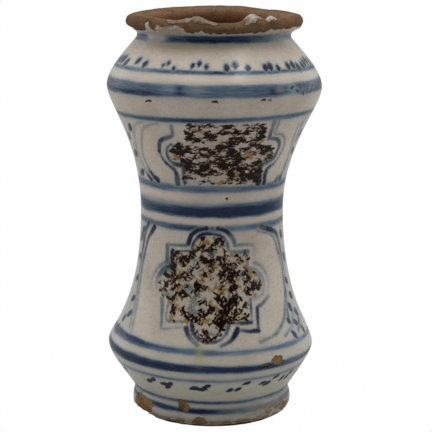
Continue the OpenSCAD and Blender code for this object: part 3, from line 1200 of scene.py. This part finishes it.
class JarColours(bpy.types.PropertyGroup):
    """Colours of clay, glaze and painting."""

    lip_clay: colour("Lip clay", "Bare clay of the lip", "#644C34")
    red_clay: colour("Red clay", "Bare clay where the fire reddened it", "#68482F")
    # The rubbed clay is laid as worn clay on the lip's front and as painted light on its face and inner edge
    rubbed_and_lit_clay: colour("Rubbed clay", "Paler clay where hands rubbed the lip's front", "#836850")
    # The throat's clay is laid as painted shade that darkens down into the throat
    shaded_throat_clay: colour("Throat clay", "Bare clay inside the throat", "#56341C")
    stand_clay: colour("Stand clay", "Dirty bare clay at the foot's edge", "#4F3E2B")
    foot_clay: colour("Foot clay", "Fresh clay in the chips at the foot", "#876C45")
    soot: colour("Soot", "Dark wear in the clay's pores", "#33241A")
    ground: colour("Ground", "White glaze, greyed by age", "#BBB1A4")
    # The warm ground is also laid as painted shade under the lip round the neck
    warm_ground_and_shade: colour("Warm ground", "Glaze where it lies thin over the clay", "#A2937F")
    # The pale ground is laid as painted light on the waist's left and the shoulder's front
    pale_lit_ground: colour("Pale ground", "Glaze where it lies thick and clean", "#CCBAAC")
    cool: colour("Cool ground", "Thick glaze at the foot", "#B1B0A1")
    wash: colour("Cobalt wash", "Thin cobalt", "#5F7181")
    haze: colour("Cobalt haze", "White tinted by cobalt that bled into it", "#959B9B")
    cobalt: colour("Cobalt", "Full cobalt", "#0A2040")
    line_wash: colour("Thin line", "Thin cobalt dulled with manganese, for lines and touches", "#69727B")
    line: colour("Line", "Full cobalt dulled with manganese", "#141C2F")
    brown: colour("Brown", "Manganese brown-black", "#140A03")
    russet: colour("Russet", "Thin manganese brown", "#553820")
    ochre: colour("Ochre", "Iron ochre", "#866A36")
    green: colour("Green", "Thin grey-green copper", "#6A7370")
    drip: colour("Drip", "Yellow-green run in the glaze", "#94935F")
    dirt: colour("Dirt", "Brown dirt at the foot", "#6B553D")
    lining: colour("Lining", "Glaze lining", "#8C7862")
    floor: colour("Floor", "Studio floor", "#CACACA")


# Inputs of a node that lays one colour over another, and the settings of that node and of a smooth change
SHARE, UNDER, OVER = 0, 6, 7
BLEND = {"data_type": "RGBA"}
SMOOTH = {"interpolation_type": "SMOOTHSTEP"}
WHITE = (1, 1, 1, 1)


def add_node(tree, kind, inputs=None, **settings):
    """Adds a node with its settings, and sets or links its inputs. A node that is given as an input is linked
    by the first of its outputs that is in use."""
    made = tree.nodes.new("ShaderNode" + kind)
    for name, value in settings.items():
        setattr(made, name, value)
    for name, value in (inputs or {}).items():
        if isinstance(value, bpy.types.Node):
            value = next(output for output in value.outputs if output.enabled)
        if isinstance(value, bpy.types.NodeSocket):
            tree.links.new(value, made.inputs[name])
        else:
            made.inputs[name].default_value = (*value, 1) if isinstance(value, Color) else value
    return made


def start(name):
    """A new material without nodes, and what adds nodes to it."""
    material = bpy.data.materials.new(name)
    material.use_nodes = True
    material.node_tree.nodes.clear()
    return material, functools.partial(add_node, material.node_tree)


def per_metre(size_mm):
    """Texture scale that gives a pattern of about that size."""
    return 1 / (size_mm * MM)


# Depth of the fine bumps in clay and glaze
BUMP_DEPTH = 0.5 * MM
# How ragged the edges of the blue strokes and of the fields' leaves are, in mm
BLUE_RAGGED = 1.4
LEAF_RAGGED = 1.8
# The depths of blue at which a stroke's thin and full colour start to show and hide all below them
WASH_DEPTH = (0.02, 0.6)
FULL_DEPTH = (0.4, 0.95)
# How far the fields are greyed
FIELD_GREY = 0.35
# How much flatter than wide the bristles' streaks and the smears of dirt are
STREAK_FLAT = 9
SMEAR_FLAT = 2.5
# How much of the floor the camera sees as plain white. The rest is the board with its shadow.
FLOOR_WHITE = 0.985


def bare_earthenware():
    """Fired clay with the glaze worn off: matt, pored and grimed, yellower where it was chipped later."""
    colours = bpy.context.scene.jar_colours
    material, add = start("earthenware_thrown_fired_worn")
    where = add("TexCoord").outputs["Object"]
    # The fire left redder patches a thumb wide
    fired = add("TexNoise", {"Vector": where, "Scale": per_metre(15), "Detail": 3})
    redder = add("MapRange", {"Value": fired, "From Min": 0.42, "From Max": 0.62}, **SMOOTH)
    clay = add("Mix", {SHARE: redder, UNDER: colours.lip_clay, OVER: colours.red_clay}, **BLEND)
    # Dirt at the foot, darker clay at the lip's back, rubbed wear and painted light on the lip, painted shade
    # down the throat, and fresh clay in the chips
    for attribute, tint in (
        ("stand", colours.stand_clay),
        ("rubbed", colours.rubbed_and_lit_clay),
        ("deep", colours.shaded_throat_clay),
        ("fresh", colours.foot_clay),
    ):
        share = add("Attribute", attribute_name=attribute).outputs["Fac"]
        clay = add("Mix", {SHARE: share, UNDER: clay, OVER: tint}, **BLEND)
    # Grime lies in patches about a fingertip wide
    patch = add("TexNoise", {"Vector": where, "Scale": per_metre(7), "Detail": 6, "Roughness": 0.66})
    grime = add("MapRange", {"Value": patch, "From Min": 0.44, "From Max": 0.76, "To Max": 0.62}, **SMOOTH)
    grimed = add("Mix", {SHARE: grime, UNDER: clay, OVER: colours.soot}, **BLEND)
    # Temper grains and pores, drawn at 1.3 mm, a little coarser than they are, so that they show
    grain = add("TexNoise", {"Vector": where, "Scale": per_metre(1.3), "Detail": 4})
    pale = add("MapRange", {"Value": grain, "From Min": 0.3, "From Max": 0.75, "To Min": 0.7, "To Max": 1.29})
    speckled = add("VectorMath", {0: grimed, 1: pale}, operation="MULTIPLY")
    bump = add("Bump", {"Height": grain, "Strength": 0.6, "Distance": BUMP_DEPTH})
    shader = add(
        "BsdfPrincipled",
        {"Base Color": speckled, "Roughness": 0.9, "IOR": 1.45, "Specular IOR Level": 0.2, "Normal": bump},
    )
    add("OutputMaterial", {"Surface": shader})
    return material


def painted_tin_glaze():
    """Opaque white glaze with colours brushed into it raw: satin gloss, soft strokes and streaky washes."""
    colours = bpy.context.scene.jar_colours
    material, add = start("tin_glaze_dipped_brush_painted")
    where = add("TexCoord").outputs["Object"]
    # Thin and thick glaze in cloudy patches a few centimetres wide
    cloud = add("TexNoise", {"Vector": where, "Scale": per_metre(26), "Detail": 4, "Roughness": 0.6})
    thin = add("MapRange", {"Value": cloud, "From Min": 0.4, "From Max": 0.72, "To Max": 0.5}, **SMOOTH)
    look = add("Mix", {SHARE: thin, UNDER: colours.ground, OVER: colours.warm_ground_and_shade}, **BLEND)
    # Iron specks and pinholes, drawn at 1.4 mm, coarser than most of them, so that they show
    speck = add("TexNoise", {"Vector": where, "Scale": per_metre(1.4), "Detail": 3, "Roughness": 0.7})
    dull = add(
        "MapRange", {"Value": speck, "From Min": 0.25, "From Max": 0.75, "To Min": 1.12, "To Max": 0.88}
    )
    look = add("VectorMath", {0: look, 1: dull}, operation="MULTIPLY")
    pinholes = add("MapRange", {"Value": speck, "From Min": 0.6, "From Max": 0.74, "To Max": 0.6}, **SMOOTH)
    look = add("Mix", {SHARE: pinholes, UNDER: look, OVER: colours.dirt}, **BLEND)
    # Warm where the glaze is thin and as painted shade under the lip round the neck, paler as painted light
    # on the left of the waist and on the shoulder's front and pale beside the upper panel, blue where cobalt
    # bled, and cool towards the foot
    for attribute, tint in (
        ("thin", colours.warm_ground_and_shade),
        ("pale", colours.pale_lit_ground),
        ("tinted", colours.haze),
        ("cool", colours.cool),
    ):
        share = add("Attribute", attribute_name=attribute).outputs["Fac"]
        look = add("Mix", {SHARE: share, UNDER: look, OVER: tint}, **BLEND)
    # Raw glaze drinks the brush's edge unevenly, at about the width of a bristle clump
    edge_noise = add("TexNoise", {"Vector": where, "Scale": per_metre(1.6), "Detail": 3})

    def covered(attribute, ragged, soft, grown=0.0):
        """Share of a stroke's colour, by how ragged and soft its edge is and how far it spread, in mm."""
        edge = add("Attribute", attribute_name=attribute).outputs["Fac"]
        moved = add("Math", {0: edge_noise, 1: -ragged, 2: ragged / 2 - grown}, operation="MULTIPLY_ADD")
        total = add("Math", {0: edge, 1: moved}, operation="ADD")
        return add("MapRange", {"Value": total, "From Min": soft, "From Max": -soft}, **SMOOTH)

    def brushed(look, paint, uneven_load, wash, full, soft, pool, haze_reach, haze_most):
        """The look under one blue: haze round each stroke, thin colour at its edges and full at its heart."""
        load = add("Attribute", attribute_name=paint + "_load").outputs["Fac"]
        laid = add("Math", {0: load, 1: uneven_load}, operation="MULTIPLY")
        # Colour pools towards the middle of a stroke and thins to its edges
        inward = add("Attribute", attribute_name=paint + "_edge").outputs["Fac"]
        pooled = add(
            "MapRange", {"Value": inward, "From Min": 0, "From Max": -pool, "To Min": 0.74, "To Max": 1.12}
        )
        laid = add("Math", {0: pooled, 1: laid}, operation="MULTIPLY")
        # Cobalt bleeds a little way into the white as it melts
        haze = add(
            "MapRange",
            {"Value": inward, "From Min": haze_reach, "From Max": 0, "To Max": haze_most},
            **SMOOTH,
        )
        look = add("Mix", {SHARE: haze, UNDER: look, OVER: colours.haze}, **BLEND)
        cover = covered(paint + "_edge", BLUE_RAGGED, soft)
        depth = add("Math", {0: cover, 1: laid}, operation="MULTIPLY")
        for tint, (least, most) in ((wash, WASH_DEPTH), (full, FULL_DEPTH)):
            share = add("MapRange", {"Value": depth, "From Min": least, "From Max": most}, **SMOOTH)
            look = add("Mix", {SHARE: share, UNDER: look, OVER: tint}, **BLEND)
        return look

    # Bristles leave streaks in the wide bands that run level round the jar; lines and touches only blot
    level = add("Mapping", {"Vector": where, "Scale": (1, 1, STREAK_FLAT)})
    streak = add("TexNoise", {"Vector": level, "Scale": per_metre(11), "Detail": 4})
    streaky = add(
        "MapRange", {"Value": streak, "From Min": 0.3, "From Max": 0.7, "To Min": 0.84, "To Max": 1.15}
    )
    # Blots are about as wide as a stroke
    blot = add("TexNoise", {"Vector": where, "Scale": per_metre(5), "Detail": 2})
    blotted = add(
        "MapRange", {"Value": blot, "From Min": 0.3, "From Max": 0.7, "To Min": 0.75, "To Max": 1.2}
    )
    look = brushed(
        look, "cobalt", streaky, colours.wash, colours.cobalt,
        soft=1.5, pool=2.4, haze_reach=4.0, haze_most=0.42,
    )
    look = brushed(
        look, "line", blotted, colours.line_wash, colours.line,
        soft=0.9, pool=1.4, haze_reach=2.2, haze_most=0.2,
    )
    # Copper and iron from the fields ran down over the blue
    drip = add("Attribute", attribute_name="drip").outputs["Fac"]
    look = add("Mix", {SHARE: drip, UNDER: look, OVER: colours.drip}, **BLEND)
    # The fields are greyed by brush marks too fine to draw
    field = add("Attribute", attribute_name="field").outputs["Fac"]
    greyed = add("Math", {0: field, 1: edge_noise}, operation="MULTIPLY")
    greyed = add("Math", {0: greyed, 1: FIELD_GREY}, operation="MULTIPLY")
    look = add("Mix", {SHARE: greyed, UNDER: look, OVER: colours.russet}, **BLEND)
    # Manganese is black where it lies thick and brown at its thin edges
    for attribute, pigment, soft, grown in (
        ("green_edge", colours.green, 0.8, 0.0),
        ("ochre_edge", colours.ochre, 0.8, 0.0),
        ("russet_edge", colours.russet, 0.4, 0.0),
        ("brown_edge", colours.russet, 0.35, 0.15),
        ("brown_edge", colours.brown, 0.25, -0.1),
    ):
        cover = covered(attribute, LEAF_RAGGED, soft, grown)
        look = add("Mix", {SHARE: cover, UNDER: look, OVER: pigment}, **BLEND)
    # The last of those, thick manganese, dries the glaze under it, so that it hardly shines
    shine = add("MapRange", {"Value": cover, "To Min": 0.22, "To Max": 0.13})
    # Dirt smeared round the foot and under the lip, in patches a fingertip wide
    dirt = add("Attribute", attribute_name="dirt").outputs["Fac"]
    flat = add("Mapping", {"Vector": where, "Scale": (1, 1, SMEAR_FLAT)})
    patch = add("TexNoise", {"Vector": flat, "Scale": per_metre(7), "Detail": 5, "Roughness": 0.65})
    smeared = add("MapRange", {"Value": patch, "From Min": 0.3, "From Max": 0.6}, **SMOOTH)
    soiled = add("Math", {0: dirt, 1: smeared}, operation="MULTIPLY")
    look = add("Mix", {SHARE: soiled, UNDER: look, OVER: colours.dirt}, **BLEND)
    # Worn gloss: between satin and bright in patches
    gloss = add("MapRange", {"Value": patch, "From Min": 0.3, "From Max": 0.7, "To Min": 0.2, "To Max": 0.36})
    # The glaze ripples a little, about a fingertip wide
    ripple = add("TexNoise", {"Vector": where, "Scale": per_metre(7), "Detail": 3})
    bump = add("Bump", {"Height": ripple, "Strength": 0.35, "Distance": BUMP_DEPTH})
    shader = add(
        "BsdfPrincipled",
        {"Base Color": look, "Roughness": gloss, "IOR": 1.5, "Specular IOR Level": shine, "Normal": bump},
    )
    add("OutputMaterial", {"Surface": shader})
    return material


def lining_glaze():
    """Thin brownish lining glaze: satin, stained by use, with the throwing rings catching light."""
    colours = bpy.context.scene.jar_colours
    material, add = start("lining_glaze_poured_stained")
    where = add("TexCoord").outputs["Object"]
    # Stains spread about a thumb's length
    cloud = add("TexNoise", {"Vector": where, "Scale": per_metre(30), "Detail": 6, "Roughness": 0.65})
    stained = add("MapRange", {"Value": cloud, "From Min": 0.4, "From Max": 0.68}, **SMOOTH)
    look = add("Mix", {SHARE: stained, UNDER: colours.lining, OVER: colours.lip_clay}, **BLEND)
    # Crawled glaze makes bumps of a few mm
    fine = add("TexNoise", {"Vector": where, "Scale": per_metre(3), "Detail": 4})
    bump = add("Bump", {"Height": fine, "Strength": 0.4, "Distance": BUMP_DEPTH})
    shader = add("BsdfPrincipled", {"Base Color": look, "Roughness": 0.5, "IOR": 1.5, "Normal": bump})
    add("OutputMaterial", {"Surface": shader})
    return material


def broken_rim_glaze():
    """Islands of glaze left on the lip: pale and satin on top, grimed towards their broken edges."""
    colours = bpy.context.scene.jar_colours
    material, add = start("tin_glaze_broken_islands")
    where = add("TexCoord").outputs["Object"]
    # Grime lies in patches of a few mm, and all over some of the islands
    patch = add("TexNoise", {"Vector": where, "Scale": per_metre(4), "Detail": 5, "Roughness": 0.6})
    patchy = add("MapRange", {"Value": patch, "From Min": 0.42, "From Max": 0.68, "To Max": 0.8}, **SMOOTH)
    grime = add("Attribute", attribute_name="grime").outputs["Fac"]
    grimed = add("Math", {0: grime, 1: 0.85, 2: patchy}, operation="MULTIPLY_ADD", use_clamp=True)
    look = add("Mix", {SHARE: grimed, UNDER: colours.ground, OVER: colours.dirt}, **BLEND)
    bump = add("Bump", {"Height": patch, "Strength": 0.5, "Distance": BUMP_DEPTH})
    shader = add("BsdfPrincipled", {"Base Color": look, "Roughness": 0.45, "IOR": 1.5, "Normal": bump})
    add("OutputMaterial", {"Surface": shader})
    return material


def studio_floor():
    """Matt white board. The camera sees it as plain white with the jar's own shadow."""
    colours = bpy.context.scene.jar_colours
    material, add = start("studio_board_matt_white")
    board = add("BsdfDiffuse", {"Color": colours.floor})
    white = add("Emission", {"Color": WHITE, "Strength": 1.0})
    camera = add("LightPath").outputs["Is Camera Ray"]
    seen = add("Math", {0: camera, 1: FLOOR_WHITE}, operation="MULTIPLY")
    mixed = add("MixShader", {0: seen, 1: board, 2: white})
    add("OutputMaterial", {"Surface": mixed})
    return material


# Pieces

# Where the clay's looks change, as values that they fade in between: degrees from the front, heights or radii
DARK_BACK = (100, 140)
DARK_BACK_MOST = 0.35
DARK_DOWN = (120, 80)
# The lip's front is paler, partly rubbed and partly painted light on its face, apart from a stretch beside
# its middle. Its inner edge is painted lighter too, as painted light against the shade inside the lip.
RUBBED_UP = (270.5, 274)
RUBBED_HALF = math.radians(40)
RUBBED_MOST = 0.45
UNRUBBED_AT = 6
UNRUBBED_HALF = 15
UNRUBBED_MOST = 0.85
INNER_EDGE_IN = (55.5, 53)
INNER_EDGE_UP = (268, 272)
INNER_EDGE_MOST = 0.5
# Painted shade: the clay turns darker and redder down inside the throat, between these radii and heights
THROAT_IN = (51, 46)
THROAT_UP = (240, 250)


class JAR_OT_clay(bpy.types.Operator):
    """Builds the thrown earthenware body with its worn lip, bitten foot and chip hollows"""

    bl_idname = "jar.clay"
    bl_label = "Earthenware body"

    def execute(self, context):
        runs = BODY.spread(body_spacing)
        points = place(turn(BODY_COLUMNS)[None, :], runs[:, None], 0.0, worn=True)
        points[..., 2] = np.maximum(points[..., 2], 0)
        mesh = lathe("earthenware_body", points, closed=False)
        x, y, height = mesh_points(mesh).T
        angle, radius = np.arctan2(x, -y), np.hypot(x, y)
        degrees = np.degrees(angle)
        chipped = [ease(spot_distance(angle, run_at(height), radius, chip), *CHIP_FRESH) for chip in CHIPS]
        store(mesh, "fresh", np.max(chipped, axis=0))
        back = DARK_BACK_MOST * ease(np.abs(degrees), *DARK_BACK)
        store(mesh, "stand", np.maximum(ease(height, *DARK_DOWN), back))
        # Rubbed wear and painted light on the lip's front, and painted light on its inner edge
        front = np.exp(-((angle / RUBBED_HALF) ** 2)) * ease(height, *RUBBED_UP)
        front *= 1 - UNRUBBED_MOST * np.exp(-(((degrees - UNRUBBED_AT) / UNRUBBED_HALF) ** 2))
        edge = INNER_EDGE_MOST * ease(radius, *INNER_EDGE_IN) * ease(height, *INNER_EDGE_UP)
        store(mesh, "rubbed", np.maximum(RUBBED_MOST * front, edge))
        # Painted shade down inside the throat
        store(mesh, "deep", ease(radius, *THROAT_IN) * ease(height, *THROAT_UP))
        show("earthenware_body", mesh, bare_earthenware(), "biscuit_body")
        return {"FINISHED"}


# How far the hidden side of a coat of glaze is sunk into the clay
SUNK = 0.1
# Radius at which the glaze's edges are made ragged, and the stretch of the upper edge where they are most so
EDGE_RADIUS = 60
RAGGED_AT = -26
RAGGED_HALF = 16
RAGGED_MORE = 1.3
# The glaze's thickness at its edges, as a share of its whole, and how far in from them it thins
EDGE_THICK = 0.6
EDGE_THINS = 1.5


class JAR_OT_glaze(bpy.types.Operator):
    """Builds the outer glaze with its ragged edges and chips, and paints it"""

    bl_idname = "jar.glaze"
    bl_label = "Painted glaze"

    def execute(self, context):
        thick = context.scene.jar_sizes.glaze / MM
        angle = glaze_turn()
        round_jar = np.stack([EDGE_RADIUS * np.sin(angle), -EDGE_RADIUS * np.cos(angle), 0 * angle], -1)
        at = np.degrees(off_front(angle, 0))
        ragged = 1 + RAGGED_MORE * np.exp(-(((at - RAGGED_AT) / RAGGED_HALF) ** 2))
        high = np.interp(at, *zip(*UPPER_EDGE)) + ragged * uneven(round_jar, UPPER_EDGE_LAYERS)
        low = uneven(round_jar, LOWER_EDGE_LAYERS, LOWER_EDGE)
        low_run, high_run = run_at(low), run_at(high)
        share = np.concatenate([np.linspace(0, 1, GLAZE_ROWS), np.linspace(1, 0, GLAZE_BACK_ROWS)])
        run = low_run + share[:, None] * (high_run - low_run)
        to_edge = np.minimum(run - low_run, high_run - run)
        lift = thick * (EDGE_THICK + (1 - EDGE_THICK) * ease(to_edge, 0, EDGE_THINS))
        lift[GLAZE_ROWS:] = -SUNK
        mesh = lathe("painted_glaze", place(angle, run, lift), closed=True)
        mesh = cut_away(mesh, [chip_cutter(chip, CHIP_SEED + n) for n, chip in enumerate(CHIPS)])
        for name, values in paint_jar(mesh_points(mesh)).items():
            store(mesh, name, values)
        show("painted_glaze", mesh, painted_tin_glaze(), "exterior_glaze")
        return {"FINISHED"}


# The lining's rows, its throwing rings' depth and spacing, and how far its upper edge stands off the clay
LINING_ROWS = 2.2
RING_DEPTH = 0.2
RING_SPACING = 7.5
LINING_EDGE = 0.2


class JAR_OT_lining(bpy.types.Operator):
    """Builds the glaze lining with its throwing rings"""

    bl_idname = "jar.lining"
    bl_label = "Glaze lining"

    def execute(self, context):
        runs = BODY.spread(lambda radius, height, run: np.full(len(run), LINING_ROWS))
        runs = runs[runs > inner_run_at(LINING_TOP)]
        both = np.concatenate([runs[::-1], runs])
        height = np.interp(both, BODY.run, BODY.height)
        lift = LINING + RING_DEPTH * np.sin(height * 2 * math.pi / RING_SPACING)
        lift[len(runs) :] = -SUNK
        lift[len(runs) - 1] = LINING_EDGE
        points = place(turn(BODY_COLUMNS)[None, :], both[:, None], lift[:, None])
        mesh = lathe("glaze_lining", points, closed=False)
        show("glaze_lining", mesh, lining_glaze(), "interior_glaze")
        return {"FINISHED"}


class Flake(NamedTuple):
    """An island of glaze on the lip: its middle, from the crest outwards, half its length and width, and how
    far its middle stands up."""

    angle: float
    outward: float
    half_length: float
    half_width: float
    lump: float


FLAKES = (
    Flake(-27.0, 3.8, 4.4, 1.4, 0.1),
    Flake(-18.5, 3.4, 4.8, 2.0, 0.2),
    Flake(-10.0, 3.2, 5.0, 2.8, 0.25),
    Flake(25.0, 2.4, 6.0, 3.8, 0.8),
    Flake(39.5, 2.4, 3.8, 2.6, 0.5),
    Flake(-2.0, 3.6, 4.6, 1.3, 0.1),
)
FLAKE_RINGS = 8
FLAKE_SPOKES = 40
FLAKE_SEED = 60
FLAKE_CHANCE = 0.2
FLAKE_WAVES = {many: 0.4 / many for many in (2, 3, 5, 9, 14)}
# Reach of a flake's innermost ring, how thick its edge is as a share of the whole, and how deep it is sunk
FLAKE_MIDDLE = 0.02
FLAKE_EDGE = 0.6
FLAKE_SUNK = 0.3
# How grimed the flakes are at least, and the angles between which they become fully grimed towards the left
FLAKE_GRIME = 0.35
GRIME_LEFT = (21, 15)


class JAR_OT_flakes(bpy.types.Operator):
    """Builds the islands of glaze that are left on the lip"""

    bl_idname = "jar.flakes"
    bl_label = "Rim glaze islands"

    def execute(self, context):
        whole = bmesh.new()
        for seed, flake in enumerate(FLAKES):
            self.add_flake(whole, flake, seed, context.scene.jar_sizes.glaze / MM)
        mesh = bpy.data.meshes.new("rim_glaze_islands")
        whole.to_mesh(mesh)
        whole.free()
        x, y, _ = mesh_points(mesh).T
        left = ease(np.degrees(np.arctan2(x, -y)), *GRIME_LEFT)
        store(mesh, "grime", FLAKE_GRIME + (1 - FLAKE_GRIME) * left)
        show("rim_glaze_islands", mesh, broken_rim_glaze(), "rim_glaze_remnants")
        return {"FINISHED"}

    def add_flake(self, whole, flake, seed, thick):
        """Adds one island to the whole."""
        around, ragged = ragged_ring(FLAKE_SEED + seed, FLAKE_SPOKES, FLAKE_CHANCE, FLAKE_WAVES)
        reach = np.concatenate([np.linspace(FLAKE_MIDDLE, 1, FLAKE_RINGS), [1.0], [FLAKE_MIDDLE]])
        lift = np.concatenate([np.full(FLAKE_RINGS, thick), [-FLAKE_SUNK], [-FLAKE_SUNK]])
        lift[FLAKE_RINGS - 1] = FLAKE_EDGE * thick
        lift = lift + flake.lump * np.clip(1 - reach**2, 0, 1) * (lift > 0)
        x = flake.half_length * reach[:, None] * ragged * np.cos(around)
        y = flake.half_width * reach[:, None] * ragged * np.sin(around)
        angle = math.radians(flake.angle) + x / CREST_RADIUS
        points = place(angle, CREST_RUN - flake.outward - y, lift[:, None])
        piece = lathe("flake", points, closed=True)
        whole.from_mesh(piece)
        bpy.data.meshes.remove(piece)


# Stage, in m

EYE = (2.55 * MM, -926.3 * MM, 328.2 * MM)
EYE_DOWN = math.radians(11.60)
EYE_ROLL = math.radians(0.583)
EYE_LENS = 111.85
EYE_SENSOR = 36
EYE_NEAREST = 0.05
BOARD_CELLS = 24
BOARD_HALF = 6
BOARD_AT = (0, 2, -0.0002)


class Lamp(NamedTuple):
    """A softbox that shines down: its two sizes, watts and place, and its tilt to the front in degrees."""

    size: tuple
    watts: float
    at: tuple
    tilt: float


TOP_SOFTBOX = Lamp((0.6, 0.6), 4.9, (0.02, -0.2, 1.22), 0)
SIDE_STRIP = Lamp((0.12, 0.9), 0.5, (0.38, 0.22, 1.25), 0)
# Cards that only show in the glaze: a tall highlight on the shoulder's right and a wide faint one on its left
WINDOW_CARD = Lamp((0.17, 0.62), 3.2, (0.385, -0.42, 1.08), 27)
WALL_CARD = Lamp((0.6, 0.3), 2.4, (-0.52, -0.66, 1.25), 0)


class JAR_OT_stage(bpy.types.Operator):
    """Sets up the floor, the soft light and the camera"""

    bl_idname = "jar.stage"
    bl_label = "Studio"

    def execute(self, context):
        scene = context.scene
        scene.view_settings.view_transform = "Standard"
        self.board(scene)
        self.tent(scene)
        softbox = self.lamp(scene, "top_softbox", TOP_SOFTBOX)
        softbox.visible_glossy = False
        self.lamp(scene, "side_strip", SIDE_STRIP)
        for name, card in (("window_card", WINDOW_CARD), ("wall_card", WALL_CARD)):
            self.lamp(scene, name, card).visible_diffuse = False
        eye = bpy.data.cameras.new("eye")
        eye.lens = EYE_LENS
        eye.sensor_width = EYE_SENSOR
        eye.clip_start = EYE_NEAREST
        camera = bpy.data.objects.new("eye", eye)
        camera.matrix_world = (
            Matrix.Translation(EYE)
            @ Matrix.Rotation(math.pi / 2 - EYE_DOWN, 4, "X")
            @ Matrix.Rotation(EYE_ROLL, 4, "Z")
        )
        scene.collection.objects.link(camera)
        scene.camera = camera
        return {"FINISHED"}

    def lamp(self, scene, name, lamp):
        """Hangs one lamp in the scene."""
        light = bpy.data.lights.new(name, "AREA")
        light.shape = "RECTANGLE"
        light.size, light.size_y = lamp.size
        light.energy = lamp.watts
        hung = bpy.data.objects.new(name, light)
        hung.location = lamp.at
        hung.rotation_euler.x = math.radians(lamp.tilt)
        scene.collection.objects.link(hung)
        return hung

    def board(self, scene):
        """A wide board with a fine grid, so that it isn't one bare quad."""
        shape = bmesh.new()
        bmesh.ops.create_grid(shape, x_segments=BOARD_CELLS, y_segments=BOARD_CELLS, size=BOARD_HALF)
        mesh = bpy.data.meshes.new("studio_board")
        shape.to_mesh(mesh)
        shape.free()
        mesh.materials.append(studio_floor())
        board = bpy.data.objects.new("studio_board", mesh)
        board.location = BOARD_AT
        scene.collection.objects.link(board)

    def tent(self, scene):
        """A white tent round the jar, dim in front and behind. The camera itself sees plain white."""
        world = bpy.data.worlds.new("light_tent")
        world.use_nodes = True
        world.node_tree.nodes.clear()
        add = functools.partial(add_node, world.node_tree)
        way = add("TexCoord").outputs["Generated"]
        apart = add("SeparateXYZ", {"Vector": way}).outputs
        level = add(
            "MapRange",
            {"Value": apart["Y"], "From Min": -0.95, "From Max": -0.2, "To Min": 0.18, "To Max": 1.385},
            **SMOOTH,
        )
        # The roof and the cloth behind are dimmer than the sides
        for axis, start_at, full_at, change in (("Z", 0.1, 0.7, -0.35), ("Y", 0.6, 0.95, -0.85)):
            dimmer = add(
                "MapRange",
                {"Value": apart[axis], "From Min": start_at, "From Max": full_at, "To Max": change},
                **SMOOTH,
            )
            level = add("Math", {0: level, 1: dimmer}, operation="ADD")
        cloth = add("Background", {"Color": WHITE, "Strength": level})
        white = add("Background", {"Color": WHITE, "Strength": 1.0})
        camera = add("LightPath").outputs["Is Camera Ray"]
        mixed = add("MixShader", {0: camera, 1: cloth, 2: white})
        add("OutputWorld", {"Surface": mixed})
        scene.world = world


class JAR_PT_panel(bpy.types.Panel):
    """Lists the jar's pieces, sizes and colours"""

    bl_idname = "JAR_PT_panel"
    bl_label = "Pharmacy jar"
    bl_space_type = "VIEW_3D"
    bl_region_type = "UI"
    bl_category = "Jar"

    def draw(self, context):
        for operator in OPERATORS:
            self.layout.operator(operator.bl_idname)
        for group in (context.scene.jar_sizes, context.scene.jar_colours):
            for name in group.__annotations__:
                self.layout.prop(group, name)


OPERATORS = (JAR_OT_clay, JAR_OT_glaze, JAR_OT_lining, JAR_OT_flakes, JAR_OT_stage)
CLASSES = (JarSizes, JarColours, *OPERATORS, JAR_PT_panel)


def register():
    for cls in CLASSES:
        bpy.utils.register_class(cls)
    bpy.types.Scene.jar_sizes = bpy.props.PointerProperty(type=JarSizes)
    bpy.types.Scene.jar_colours = bpy.props.PointerProperty(type=JarColours)


def unregister():
    del bpy.types.Scene.jar_colours
    del bpy.types.Scene.jar_sizes
    for cls in reversed(CLASSES):
        bpy.utils.unregister_class(cls)


def check_outline():
    """Stops the script if the CAD has another outline than this script."""
    low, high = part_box("biscuit_body")
    for name, mine, cad in (
        ("height", BODY.height.max(), high.z / MM),
        ("radius", BODY.radius.max(), high.x / MM),
        ("stand", BODY.height.min(), low.z / MM),
    ):
        if abs(mine - cad) > AGREE_MM:
            raise ValueError(f"{name} is {mine:.2f} mm here and {cad:.2f} mm in the CAD")


def main():
    check_outline()
    register()
    for operator in OPERATORS:
        group, action = operator.bl_idname.split(".")
        getattr(getattr(bpy.ops, group), action)()


if __name__ == "__main__":
    main()
